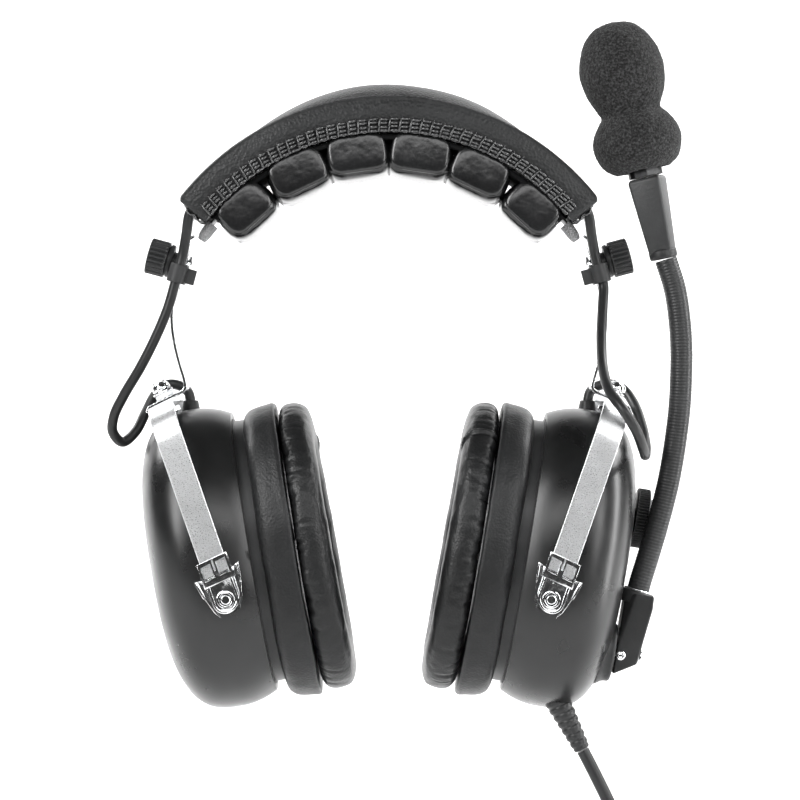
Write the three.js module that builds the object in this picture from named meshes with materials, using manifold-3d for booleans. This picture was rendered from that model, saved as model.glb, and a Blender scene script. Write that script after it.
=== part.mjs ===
// Aviation headset: sprung steel headband with a laced pad, slotted adjusters, swivelling
// stirrups, two deep ear domes with leather seals, a gooseneck boom with a foam windscreen,
// and a hanging lead stored in a coil. Millimetres, +Z up, the wearer faces -Y, and the
// origin is midway between the ears. The wearer's left side, with the boom, is +X.
import * as THREE from "three";
import { mergeVertices } from "three/addons/utils/BufferGeometryUtils.js";
import Module from "manifold-3d";

const wasm = await Module();
wasm.setup();

// ---------------------------------------------------------------- driving dimensions
const gap = 0.3;

// Head pad: sections run round a line through (0, padCentreZ) parallel to Y
const padCentreZ = 64;
const padLowerRadius = 80;
const padRidgeRadius = 91.6;
const padCrown = 6.6;
const padCrownHalfAngle = 36;
const padWall = 1.6;
const padHalfAngle = 52;
const padHalfWidth = 25;
const padEndHalfWidth = 20;
const bandRadius = 88.9;
const bandThickness = 1.2;
const bandWidth = 14;
const bandArcEnd = 46;
const foamInner = 82;
const foamOuter = 87.6;
const overheadWireRadius = 85.4;
const overheadWireY = -13.5;
const cushionPlateInner = 78.9;
const cushionPlateOuter = 79.7;
const cushionPlateHalfAngle = 56;
const cushionBedInner = 76.6;
const cushionBedOuter = 78.6;
const cushionHalfWidth = 23;
const lobeCount = 6;
const lobePitch = 17;
const lobeWidth = 19;
const lobeDepth = 12;

// Adjuster: the straight run that the slider clamps to, leaning outwards going down
const adjusterX = 71.6;
const adjusterZ = 99.1;
const adjusterLean = 15;
const bandOffset = 1.5;
const sliderWidth = 12;
const sliderThickness = 1.2;
const sliderTop = 9;
const screwRadius = 2;
const knobRadius = 6.3;
const knobLength = 8.7;

// Bracket at the slider's foot, and the stirrup below it
const bracketX = 77.8;
const bracketZ = 51.9;
const bracketLean = 25.8;
const boltHoleRadius = 2.3;
const stirrupThickness = 1.3;
const stirrupWidth = 9;
const stirrupHalfSpan = 45.2;
const stirrupBend = 12;
const stirrupArmLean = 8.1;
const pinX = 54.5;
const pinZ = -15;

// Ear cup: n runs outwards along the dome's axis from its base plane, u runs up the base
const domeX = 47;
const domeZ = -1;
const domeLean = 9.5;
const domeHalfHeight = 52.5;
const domeHalfWidth = 40;
const domeDepth = 36;
const domeGirth = 13;
const domeRim = 49;
const domeWall = 2.2;
const ovalPower = 2.3;
const sealBaseFront = -3.6;
const sealBaseBack = -15.8;
const cushionBack = -28.6;
const sealDrop = 1.5;

// Boom, in the dome's own axes
const boomU = -29.3;
const boomY = -8;
const boomFaceN = 36.6;
const boomRadius = 3.75;
const knobU = 17.8;
const knobY = 8;
const volumeKnobRadius = 10.5;
const volumeKnobFoot = 36.6;
const boomSeatN = 41.2;
const boomSeatU = -8.4;

// Comm lead
const leadRadius = 2.25;
const wireRadius = 1.8;
const coilMeanRadius = 25;
const coilHalfSection = 7;
const coilCentre = [80, 13, -127];

// ---------------------------------------------------------------- helpers
const rad = THREE.MathUtils.degToRad;
const vec = (x, y, z) => new THREE.Vector3(x, y, z);
const flat = (x, y) => new THREE.Vector2(x, y);

// The same surface with shared vertices, no empty triangles, and its faces pointing out
function welded(geometry) {
  const bare = geometry.clone();
  bare.deleteAttribute("normal");
  bare.deleteAttribute("uv");
  const merged = mergeVertices(bare, 1e-3);
  const corners = merged.index.array;
  const kept = [];
  for (let i = 0; i < corners.length; i += 3) {
    const [a, b, c] = [corners[i], corners[i + 1], corners[i + 2]];
    if (a !== b && b !== c && c !== a) kept.push(a, b, c);
  }
  const place = (i) => vec().fromBufferAttribute(merged.attributes.position, i);
  let volume = 0;
  for (let i = 0; i < kept.length; i += 3) {
    volume += place(kept[i]).dot(place(kept[i + 1]).cross(place(kept[i + 2])));
  }
  if (volume < 0) kept.reverse();
  merged.setIndex(kept);
  return merged;
}

function solid(geometry) {
  const merged = welded(geometry);
  return new wasm.Manifold(new wasm.Mesh({
    numProp: 3,
    vertProperties: new Float32Array(merged.attributes.position.array),
    triVerts: new Uint32Array(merged.index.array),
  }));
}

function surface(manifold) {
  const mesh = manifold.getMesh();
  const geometry = new THREE.BufferGeometry();
  geometry.setAttribute("position", new THREE.BufferAttribute(mesh.vertProperties, 3));
  geometry.setIndex([...mesh.triVerts]);
  return geometry;
}

function cut(base, ...tools) {
  return surface(tools.reduce((rest, tool) => rest.subtract(solid(tool)), solid(base)));
}

function join(first, ...others) {
  return surface(others.reduce((whole, other) => whole.add(solid(other)), solid(first)));
}

// Outline points as a flat plate lying in X-Y, thickness up Z from zero
function plate(points, thickness) {
  return new THREE.ExtrudeGeometry(new THREE.Shape(points), {
    depth: thickness,
    bevelEnabled: false,
  });
}

// A turned piece about Z, from a profile of [radius, height] pairs
function turned(profile, segments = 24) {
  const points = profile.map(([radius, height]) => flat(radius, height));
  return new THREE.LatheGeometry(points, segments).rotateX(Math.PI / 2);
}

function rod(radius, from, to, segments = 20) {
  return turned([[0, from], [radius, from], [radius, to], [0, to]], segments);
}

function box(width, depth, height, x = 0, y = 0, z = 0) {
  return new THREE.BoxGeometry(width, depth, height).translate(x, y, z);
}

function arcPoints(x, y, radius, from, to, steps) {
  const points = [];
  for (let i = 0; i <= steps; i += 1) {
    const angle = rad(from + ((to - from) * i) / steps);
    points.push(flat(x + radius * Math.cos(angle), y + radius * Math.sin(angle)));
  }
  return points;
}

// Sheet-metal strip: the points are its edge in the X-Z plane, and it is width deep along Y
function strip(points, thickness, width) {
  const outer = [];
  const inner = [];
  points.forEach((point, i) => {
    const before = points[Math.max(i - 1, 0)];
    const after = points[Math.min(i + 1, points.length - 1)];
    const along = after.clone().sub(before).normalize();
    const across = flat(-along.y, along.x).multiplyScalar(thickness / 2);
    outer.push(point.clone().add(across));
    inner.unshift(point.clone().sub(across));
  });
  return plate([...outer, ...inner], width).rotateX(Math.PI / 2).translate(0, width / 2, 0);
}

// Round bar along a smooth curve through the points, with flat ends
function tube(points, radius, sides, steps) {
  const ring = [];
  for (let i = 0; i < sides; i += 1) {
    const angle = (2 * Math.PI * i) / sides;
    ring.push(flat(radius * Math.cos(angle), radius * Math.sin(angle)));
  }
  return new THREE.ExtrudeGeometry(new THREE.Shape(ring), {
    steps,
    extrudePath: new THREE.CatmullRomCurve3(points),
    bevelEnabled: false,
  });
}

// A section of [sideways, radius] points carried round the pad's line. fit changes a
// section point for the angle it has reached.
function padSweep(section, halfAngle, steps, fit = (y, r) => [y, r]) {
  const geometry = new THREE.ExtrudeGeometry(new THREE.Shape(section), {
    depth: 2 * halfAngle,
    steps,
    bevelEnabled: false,
  });
  const place = geometry.attributes.position;
  for (let i = 0; i < place.count; i += 1) {
    const angle = place.getZ(i) - halfAngle;
    const [y, r] = fit(place.getX(i), place.getY(i), angle);
    place.setXYZ(i, r * Math.sin(rad(angle)), y, padCentreZ + r * Math.cos(rad(angle)));
  }
  return geometry;
}

// An oval turned piece: profile pairs are [half height, n], the axis is X, the plan is a
// full oval, narrower front to back than it is tall
function oval(profile, segments = 28) {
  const geometry = turned(profile, segments);
  const place = geometry.attributes.position;
  for (let i = 0; i < place.count; i += 1) {
    const across = place.getX(i);
    const up = place.getY(i);
    const radius = Math.hypot(across, up);
    const turn = Math.atan2(up, across);
    const reach = Math.abs(Math.cos(turn)) ** ovalPower + Math.abs(Math.sin(turn)) ** ovalPower;
    const grown = radius * reach ** (-1 / ovalPower);
    const y = (grown * Math.cos(turn) * domeHalfWidth) / domeHalfHeight;
    place.setXYZ(i, place.getZ(i), y, grown * Math.sin(turn));
  }
  return geometry;
}

function finish(color, roughness, metalness = 0) {
  return new THREE.MeshStandardMaterial({ color, roughness, metalness });
}

const materials = {
  leather: finish(0x1b1b1d, 0.55),
  leatherette: finish(0x101012, 0.25),
  foam: finish(0x2b2b2d, 0.95),
  steel: finish(0xc4c4c6, 0.3, 1),
  blackMetal: finish(0x1c1c1e, 0.45, 0.6),
  plastic: finish(0x121214, 0.35),
  rubber: finish(0x151517, 0.6),
};

function mesh(name, geometry, material) {
  const made = new THREE.Mesh(welded(geometry), material);
  made.name = name;
  return made;
}

// ---------------------------------------------------------------- headband
const headset = new THREE.Group();

// Along and across the adjuster's straight run: s is down it, w is outwards from its middle
const downX = Math.sin(rad(adjusterLean));
const downZ = -Math.cos(rad(adjusterLean));
const outX = Math.cos(rad(adjusterLean));
const outZ = Math.sin(rad(adjusterLean));

function runPoint(s, w) {
  return flat(adjusterX + downX * s + outX * w, adjusterZ + downZ * s + outZ * w);
}

function headbandSpring() {
  const steps = 12;
  const right = [];
  for (let i = 0; i <= steps; i += 1) {
    const angle = rad((bandArcEnd * i) / steps);
    right.push(flat(bandRadius * Math.sin(angle), padCentreZ + bandRadius * Math.cos(angle)));
  }
  right.push(runPoint(-23, bandOffset), runPoint(9, bandOffset));
  const left = right.slice(1).map((point) => flat(-point.x, point.y)).reverse();
  const band = strip([...left, ...right], bandThickness, bandWidth);
  const holes = [1, -1].map((side) => acrossRun(rod(screwRadius + gap, -6, 6, 12), side));
  return cut(band, ...holes);
}

// Takes a piece made with its axis along Z and its down side along +X onto the adjuster's
// run: Z becomes outwards and X becomes down the run
function acrossRun(geometry, side, s = 0) {
  const along = new THREE.Matrix4().makeBasis(
    vec(downX, 0, downZ),
    vec(0, 1, 0),
    vec(outX, 0, outZ),
  );
  const at = runPoint(s, 0);
  along.setPosition(at.x, 0, at.y);
  const placed = geometry.clone().applyMatrix4(along);
  return side > 0 ? placed : placed.rotateZ(Math.PI);
}

function padNarrowing(angle) {
  const share = Math.abs(angle) / padHalfAngle;
  return 1 - (1 - padEndHalfWidth / padHalfWidth) * share * share;
}

function padCover() {
  const ridgeRound = 1;
  const crownPoints = 7;
  const crownReach = padHalfWidth - ridgeRound;
  const ridge = padRidgeRadius - ridgeRound;
  const section = [flat(padHalfWidth, padLowerRadius), flat(padHalfWidth, ridge)];
  for (let i = 0; i < crownPoints; i += 1) {
    const y = crownReach * (1 - (2 * i) / (crownPoints - 1));
    section.push(flat(y, padRidgeRadius + padCrown * (1 - (y / padHalfWidth) ** 2)));
  }
  section.push(flat(-padHalfWidth, ridge), flat(-padHalfWidth, padLowerRadius));
  const outside = padSweep(section, padHalfAngle, 26, (y, r, angle) => {
    const fullness = Math.max(1 - (angle / padCrownHalfAngle) ** 2, 0);
    const crowned = r > padRidgeRadius ? padRidgeRadius + (r - padRidgeRadius) * fullness : r;
    return [y * padNarrowing(angle), crowned];
  });
  const half = padHalfWidth - padWall;
  const floor = padLowerRadius + padWall;
  const roof = padRidgeRadius - padWall;
  const hollow = [flat(half, floor), flat(half, roof), flat(-half, roof), flat(-half, floor)];
  const inside = padSweep(hollow, padHalfAngle + 2, 27, (y, r, angle) => [
    y * padNarrowing(angle),
    r,
  ]);
  return cut(outside, inside);
}

function padFoam() {
  const front = -10.5;
  const rear = 18;
  const section = [flat(rear, foamInner), flat(rear, foamOuter), flat(front, foamOuter),
    flat(front, foamInner)];
  return padSweep(section, 42, 20);
}

function cushionPlate() {
  const half = 6.5;
  const low = cushionPlateInner;
  const high = cushionPlateOuter;
  const section = [flat(half, low), flat(half, high), flat(-half, high), flat(-half, low)];
  return padSweep(section, cushionPlateHalfAngle, 24);
}

function headCushion() {
  const half = cushionHalfWidth;
  const low = cushionBedInner;
  const top = cushionBedOuter;
  const bed = padSweep(
    [flat(half, low), flat(half, top), flat(-half, top), flat(-half, low)],
    padHalfAngle - 1,
    24,
    (y, r, angle) => [y * padNarrowing(angle), r],
  );
  const lobes = [];
  for (let i = 0; i < lobeCount; i += 1) {
    const angle = (i - (lobeCount - 1) / 2) * lobePitch;
    const wide = lobeWidth / 2;
    const round = 5;
    const sunk = 0.7;
    const outline = [
      flat(wide, 0),
      flat(-wide, 0),
      ...arcPoints(-wide + round, -lobeDepth + round, round, 180, 270, 3),
      ...arcPoints(wide - round, -lobeDepth + round, round, -90, 0, 3),
    ];
    const depth = 2 * half * padNarrowing(angle);
    const lobe = plate(outline, depth).rotateX(Math.PI / 2).translate(0, depth / 2, top - sunk);
    lobes.push(lobe.rotateY(rad(angle)).translate(0, 0, padCentreZ));
  }
  return join(bed, ...lobes);
}

function overheadWire() {
  const points = [];
  for (let angle = -49; angle <= 49; angle += 7) {
    const x = overheadWireRadius * Math.sin(rad(angle));
    const z = padCentreZ + overheadWireRadius * Math.cos(rad(angle));
    points.push(vec(x, overheadWireY, z));
  }
  return tube(points, wireRadius, 8, 24);
}

// Slack in the crossover lead, from the pad's end through the clip and round to the dome.
// The wearer's right loop hangs outboard, and the left one passes before the bracket.
const loopStart = [[66.5, -13.5, 120.4], [69, -13, 115.8], [70.2, -11, 109]];
const loopClip = [[71.5, -9.3, 102.2], [73.3, -9.3, 95.7], [74.4, -9.3, 91.6]];
const loopEnd = [[74.4, 13.5, 56.9], [71.5, 14, 55], [70.4, 14, 51.4], [70.2, 14, 47.1]];
const rightSlack = [
  [76.6, -9, 84], [80.6, -8, 74.5], [86.3, -6, 63.5], [92.5, -3, 53.5],
  [96.3, 0, 46], [96.9, 3, 40.5], [93.8, 6, 37], [89.5, 8, 40.5],
  [86, 10.5, 47.5], [82.5, 11.5, 54], [78.5, 12.5, 57.2],
];
const leftSlack = [
  [73.9, -13, 83.5], [73, -20, 73], [72.9, -31, 62], [74.6, -40, 54.5],
  [78.6, -45.6, 48.6], [83, -44.4, 41.6], [86, -37, 35.2], [87.6, -26, 33],
  [88.5, -16, 36.5], [88, -6, 43], [86, 4, 50.5], [82.5, 11, 55.8], [78.5, 12.5, 57.4],
];

function wireLoop(slack, side) {
  const route = [...loopStart, ...loopClip, ...slack, ...loopEnd];
  return tube(route.map(([x, y, z]) => vec(side * x, y, z)), wireRadius, 8, 36);
}

function cordClip(side) {
  const inner = 2.15;
  const outer = 3.2;
  const wireY = -9.3;
  const wireW = 0.75;
  const legEnd = -4.2;
  const innerLegEnd = -6.5;
  const outline = [
    flat(wireW + outer, legEnd),
    flat(wireW + inner, legEnd),
    ...arcPoints(wireW, wireY, inner, 0, -180, 8),
    flat(wireW - inner, innerLegEnd),
    flat(wireW - outer, innerLegEnd),
    ...arcPoints(wireW, wireY, outer, -180, 0, 10),
  ];
  const length = 6.5;
  const clip = plate(outline, length);
  const onRun = new THREE.Matrix4().makeBasis(
    vec(outX, 0, outZ),
    vec(0, 1, 0),
    vec(downX, 0, downZ),
  );
  const at = runPoint(0.5, 0);
  onRun.setPosition(at.x, 0, at.y);
  clip.applyMatrix4(onRun);
  return side > 0 ? clip : clip.scale(-1, 1, 1);
}

headset.add(
  mesh("headband_spring", headbandSpring(), materials.steel),
  mesh("head_pad_cover", padCover(), materials.leather),
  mesh("head_pad_foam", padFoam(), materials.foam),
  mesh("cushion_plate", cushionPlate(), materials.steel),
  mesh("head_cushion", headCushion(), materials.leatherette),
  mesh("overhead_wire", overheadWire(), materials.rubber),
  mesh("wire_loop_left", wireLoop(leftSlack, 1), materials.rubber),
  mesh("wire_loop_right", wireLoop(rightSlack, -1), materials.rubber),
);

// ---------------------------------------------------------------- adjusters
function knurled(radius, teeth, depth, length) {
  const outline = [];
  for (let i = 0; i < 2 * teeth; i += 1) {
    const angle = (Math.PI * i) / teeth;
    const reach = i % 2 ? radius - depth : radius;
    outline.push(flat(reach * Math.cos(angle), reach * Math.sin(angle)));
  }
  return plate(outline, length);
}

function adjusterKnob() {
  const inner = 2.7 + bandOffset;
  const grip = knurled(knobRadius, 20, 0.5, knobLength - 2).translate(0, 0, inner + 2);
  const collar = rod(knobRadius - 0.6, inner, inner + 2.2, 20);
  const neck = rod(3.5, bandOffset + 0.9, inner + 0.5, 16);
  const bore = rod(screwRadius + gap, 0, inner + 6, 12);
  return cut(join(grip, collar, neck), bore);
}

function adjusterScrew() {
  return turned([
    [0, -2.9], [2.4, -2.9], [3.6, -2], [3.6, -1.3], [screwRadius, -1.3], [screwRadius, 9.6],
    [0, 9.6],
  ], 16);
}

// The slider's edge: bent tip, straight run, curved shank, and the bracket turned outwards
function sliderStrip() {
  const foot = flat(71.4, 59.4);
  const shankTop = runPoint(12, 0);
  const shank = new THREE.CubicBezierCurve(
    shankTop,
    flat(shankTop.x + 9 * downX, shankTop.y + 9 * downZ),
    flat(foot.x + 2.8, foot.y + 9),
    foot,
  );
  const plateX = Math.cos(rad(bracketLean));
  const plateZ = -Math.sin(rad(bracketLean));
  const plateIn = flat(bracketX - 4.9 * plateX, bracketZ - 4.9 * plateZ);
  const bend = new THREE.CubicBezierCurve(
    foot,
    flat(foot.x - 1.1, foot.y - 4),
    flat(plateIn.x - 2.6 * plateX, plateIn.y - 2.6 * plateZ),
    plateIn,
  );
  const plateOut = flat(bracketX + 6.4 * plateX, bracketZ + 6.4 * plateZ);
  const hook = flat(plateOut.x + 0.6, plateOut.y - 1.8);
  const points = [
    runPoint(-sliderTop - 1.5, -1.3),
    runPoint(-sliderTop, 0),
    ...shank.getPoints(8),
    ...bend.getPoints(5).slice(1),
    plateOut,
    hook,
  ];
  const slotStart = -6.5;
  const slotEnd = 23;
  const slotLength = slotEnd - slotStart;
  const slotWidth = 2 * (screwRadius + gap);
  const slot = box(slotLength, slotWidth, 8, (slotStart + slotEnd) / 2, 0, 0);
  const shankWindow = box(20, 5, 15, 73.5, 0, 67.5);
  const hole = rod(boltHoleRadius, -8, 8, 12).rotateY(rad(bracketLean));
  const blank = strip(points, sliderThickness, sliderWidth);
  return cut(blank, acrossRun(slot, 1), shankWindow, hole.translate(bracketX, 0, bracketZ));
}

// Bolt, spacer and nut in one stack, its axis square to the bracket
function swivelBolt() {
  return turned([
    [0, -5.4], [2.6, -5.4], [3, -4.6], [3, -3.4], [1.9, -3.4], [1.9, 0.9], [3.4, 0.9],
    [3.4, 3.2], [2.4, 3.5], [3.2, 3.9], [3.2, 5.4], [2.2, 6.6], [0, 7],
  ], 12);
}

// ---------------------------------------------------------------- stirrups
const bracketTurn = rad(bracketLean);
const pinAlongX = (pinX - bracketX) * Math.cos(bracketTurn) - (pinZ - bracketZ) * Math.sin(bracketTurn);
const pinAlongZ = (pinX - bracketX) * Math.sin(bracketTurn) + (pinZ - bracketZ) * Math.cos(bracketTurn);
const stirrupTop = -1.95;
const armEnd = pinAlongZ + 9;

function armShift(z) {
  return (stirrupArmLean * z) / pinAlongZ;
}

function stirrup() {
  const bendY = stirrupHalfSpan - stirrupBend;
  const bendZ = stirrupTop - stirrupBend;
  const front = [
    flat(-stirrupHalfSpan, armEnd),
    flat(-stirrupHalfSpan, -40),
    ...arcPoints(-bendY, bendZ, stirrupBend, 180, 90, 6),
  ];
  const rear = front.map((point) => flat(-point.x, point.y)).reverse();
  const blank = strip([...front, ...rear], stirrupThickness, stirrupWidth).rotateZ(Math.PI / 2);
  const bent = cut(blank, rod(boltHoleRadius, -6, 6, 12));
  const place = bent.attributes.position;
  for (let i = 0; i < place.count; i += 1) {
    place.setX(i, place.getX(i) + armShift(place.getZ(i)));
  }
  return bent;
}

// Folded clip: a collar round the stirrup's end, a tongue down to the pin, and the spring
// wings behind. Made about the pin, with +Y away from the dome, and leaning with the arm.
function pivotClip(face) {
  const collarTop = 14.5;
  const collarEnd = 6;
  const wide = stirrupWidth / 2 + 1;
  const collar = box(2 * wide, 3.6, collarTop - collarEnd, 0, 0, (collarTop + collarEnd) / 2);
  const armSpace = box(stirrupWidth + 2 * gap, stirrupThickness + 2 * gap, 9, 0, 0, 12.5);
  const windows = [-1, 1].map((side) => box(2.8, 3, 4.2, side * 2.4, 1.8, 10.6));
  const slit = box(0.7, 3, 3.6, 0, 1.8, 13.4);
  const tongueOutline = [flat(4.7, 7), flat(-4.7, 7), ...arcPoints(0, 0, 4.7, 180, 360, 8)];
  const tongue = plate(tongueOutline, 1).rotateX(Math.PI / 2).translate(0, 0.5, 0);
  const wingOutline = [
    flat(7.8, 4),
    flat(7.8, 9),
    flat(-7.8, 9),
    flat(-7.8, 4),
    ...arcPoints(0, 0, 5.6, 195, 345, 6),
  ];
  const wings = plate(wingOutline, 0.6).rotateX(Math.PI / 2).translate(0, -1.2, 0);
  const bore = rod(1.8 + gap, -4, 4, 12).rotateX(Math.PI / 2);
  const upright = cut(join(collar, tongue, wings), armSpace, ...windows, slit, bore);
  const place = upright.attributes.position;
  for (let i = 0; i < place.count; i += 1) {
    place.setX(i, place.getX(i) + face * armShift(place.getZ(i)));
  }
  return upright;
}

// Pin with its retaining ring; +Z is away from the dome, z 0 is the clip's middle
function pivotPin() {
  return turned([
    [0, -6.6], [1.8, -6.6], [1.8, 0.9], [3.6, 0.9], [3.6, 1.6], [1.9, 1.6], [1.9, 2.4],
    [1.2, 2.4], [1.2, 1.5], [0, 1.5],
  ], 12);
}

// ---------------------------------------------------------------- ear cups
const domeTurn = rad(domeLean);

// Half height of the dome's outside at n, grown or shrunk by the inset
function domeReach(n, inset = 0) {
  if (n <= domeGirth) {
    const share = (domeGirth - n) / domeGirth;
    return domeHalfHeight - (domeHalfHeight - domeRim) * share * share - inset;
  }
  const share = Math.min((n - domeGirth) / (domeDepth - inset - domeGirth), 1);
  return (domeHalfHeight - inset) * (1 - share ** 3) ** (1 / 3);
}

function domeProfile(inset, from, shares) {
  const depth = domeDepth - inset;
  return shares.map((share) => {
    const n = from + (depth - from) * share;
    return [share === 1 ? 0 : domeReach(n, inset), n];
  });
}

const outsideShares = [0, 0.2, 0.4, 0.6, 0.75, 0.87, 0.95, 1];
const insideShares = [0, 0.35, 0.65, 0.85, 1];

function grownDome() {
  return oval([[0, 0], ...domeProfile(-gap, 0, outsideShares)]);
}

function domeShell(withBoom) {
  const outside = domeProfile(0, 0, outsideShares);
  const inside = domeProfile(domeWall, 0, insideShares).reverse();
  const skin = [...outside, ...inside, outside[0]];
  const bosses = [-1, 1].map((face) => rod(4.9, 36.5, 43.2, 16)
    .rotateX((-face * Math.PI) / 2).translate(pinN, 0, pinU));
  const pinHoles = rod(1.8 + gap, -60, 60, 12).rotateX(Math.PI / 2).translate(pinN, 0, pinU);
  const drilled = [pinHoles];
  if (withBoom) {
    drilled.push(rod(3.4, 28, 45, 12).rotateY(Math.PI / 2).translate(0, knobY, knobU));
    drilled.push(rod(2.4, 28, 45, 12).rotateY(Math.PI / 2).translate(0, boomY, boomU));
  }
  return cut(join(oval(skin), ...bosses), ...drilled);
}

const pinN = (pinX - domeX) * Math.cos(domeTurn) - (pinZ - domeZ) * Math.sin(domeTurn);
const pinU = (pinX - domeX) * Math.sin(domeTurn) + (pinZ - domeZ) * Math.cos(domeTurn);

function bafflePlate() {
  const disc = oval([[0, -3.3], [45.5, -3.3], [45.5, -0.3], [46.2, -0.3], [46.2, 1.8], [0, 1.8]]);
  const holes = [];
  for (let i = -1; i <= 1; i += 1) {
    for (let j = -1; j <= 1; j += 1) {
      holes.push(box(12, 8, 8, 0, i * 12, j * 12));
    }
  }
  return cut(disc, ...holes);
}

// Both rings of the seal hang a little below the dome's middle
function sealRing(outer, inner, front, back, round) {
  return oval([
    [inner, front - round], [inner + round, front], [outer - round, front],
    [outer - 0.3 * round, front - 0.3 * round], [outer, front - round],
    [outer, back + round], [outer - 0.3 * round, back + 0.3 * round], [outer - round, back],
    [inner + round, back], [inner, back + round], [inner, front - round],
  ], 26).translate(0, 0, -sealDrop);
}

function speakerDriver() {
  return turned([
    [0, 2.1], [19, 2.1], [20, 3], [20, 6], [15, 9], [12, 9], [12, 13], [0, 13],
  ], 18).rotateY(Math.PI / 2);
}

function speakerFoam() {
  return oval([[0, -6], [30, -6], [30, -3.6], [0, -3.6]], 24);
}

function domeLiner(withBoom) {
  const block = oval([
    [0, 14], [47, 14], [45.5, 20], [38, 26], [24, 29.2], [0, 29.8],
  ], 24);
  const pocket = rod(15, 10, 22, 16).rotateY(Math.PI / 2);
  if (!withBoom) return cut(block, pocket);
  const potSpace = rod(9, 19, 40, 16).rotateY(Math.PI / 2).translate(0, knobY, knobU);
  return cut(block, pocket, potSpace);
}

// ---------------------------------------------------------------- boom and volume control
function volumePot() {
  return turned([
    [0, 20], [7.5, 20], [7.5, 30], [3, 30], [3, 39.5], [0, 39.5],
  ], 18).rotateY(Math.PI / 2).translate(0, knobY, knobU);
}

function volumeKnob() {
  const first = knurled(volumeKnobRadius, 32, 0.6, 4.9).translate(0, 0, volumeKnobFoot);
  const second = rod(7, volumeKnobFoot + 4.5, volumeKnobFoot + 7.6, 20);
  const bore = rod(3 + gap, 30, 40, 12);
  const turn = cut(join(first, second), bore).rotateY(Math.PI / 2);
  return turn.translate(0, knobY, knobU);
}

function boomBase() {
  const disc = rod(10, 28, boomFaceN - gap, 24).rotateY(Math.PI / 2).translate(0, boomY, boomU);
  const bore = rod(2.2, 20, 45, 12).rotateY(Math.PI / 2).translate(0, boomY, boomU);
  return cut(disc, grownDome(), bore);
}

function boomBlock() {
  const half = 7;
  const outline = [
    flat(boomFaceN, -36.3), flat(44.4, -31.6), flat(46.8, -12), flat(46.6, -7.5),
    flat(boomFaceN, -7.7),
  ];
  const block = plate(outline, 2 * half).rotateX(Math.PI / 2).translate(0, half + boomY, 0);
  const bore = rod(2.2, 20, 60, 12).rotateY(Math.PI / 2).translate(0, boomY, boomU);
  const seat = rod(boomRadius + gap, -1, 12, 12).rotateY(rad(5));
  return cut(block, bore, seat.translate(boomSeatN, boomY, boomSeatU));
}

function boomScrew() {
  return turned([
    [0, 31.4], [1.9, 31.4], [1.9, 45.5], [4, 45.5], [4, 46.5], [3, 47], [0, 47],
  ], 16).rotateY(Math.PI / 2).translate(0, boomY, boomU);
}

// The gooseneck's middle line when stowed, and the point it bends about
const bendPoint = [101.6, boomY, 69];
const lowerNeck = [[86.2, boomY, -16.1], [87, boomY, -12.4], [90.2, boomY, -2], [93.7, boomY, 10],
  [97, boomY, 23], [99.3, boomY, 36], [101, boomY, 50], [101.6, boomY, 64.8]];
const upperNeck = [bendPoint, [101.1, boomY, 78], [99.4, boomY, 90], [96.2, boomY, 100.6]];

function flexUpper() {
  const neck = tube(upperNeck.map(([x, y, z]) => vec(x, y, z)), boomRadius, 10, 6);
  const ball = new THREE.SphereGeometry(boomRadius, 10, 6).translate(...bendPoint);
  return join(neck, ball);
}

function micHousing() {
  const length = 27;
  const body = new THREE.CylinderGeometry(10.4, 7.4, length, 4, 1).rotateY(Math.PI / 4);
  body.rotateX(Math.PI / 2).translate(0, 0, length / 2);
  const socket = rod(boomRadius + gap, -2, 3, 12);
  return cut(body, socket);
}

function windscreen() {
  return turned([
    [0, 17], [7.2, 17], [7.2, 0.4], [9, 0], [13.4, 3], [15.6, 9], [15.5, 14], [13, 19],
    [11, 22], [12.2, 24], [14.3, 30], [14.8, 36], [13.6, 43], [10.5, 49], [6, 52.5], [0, 53.6],
  ], 18);
}

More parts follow.
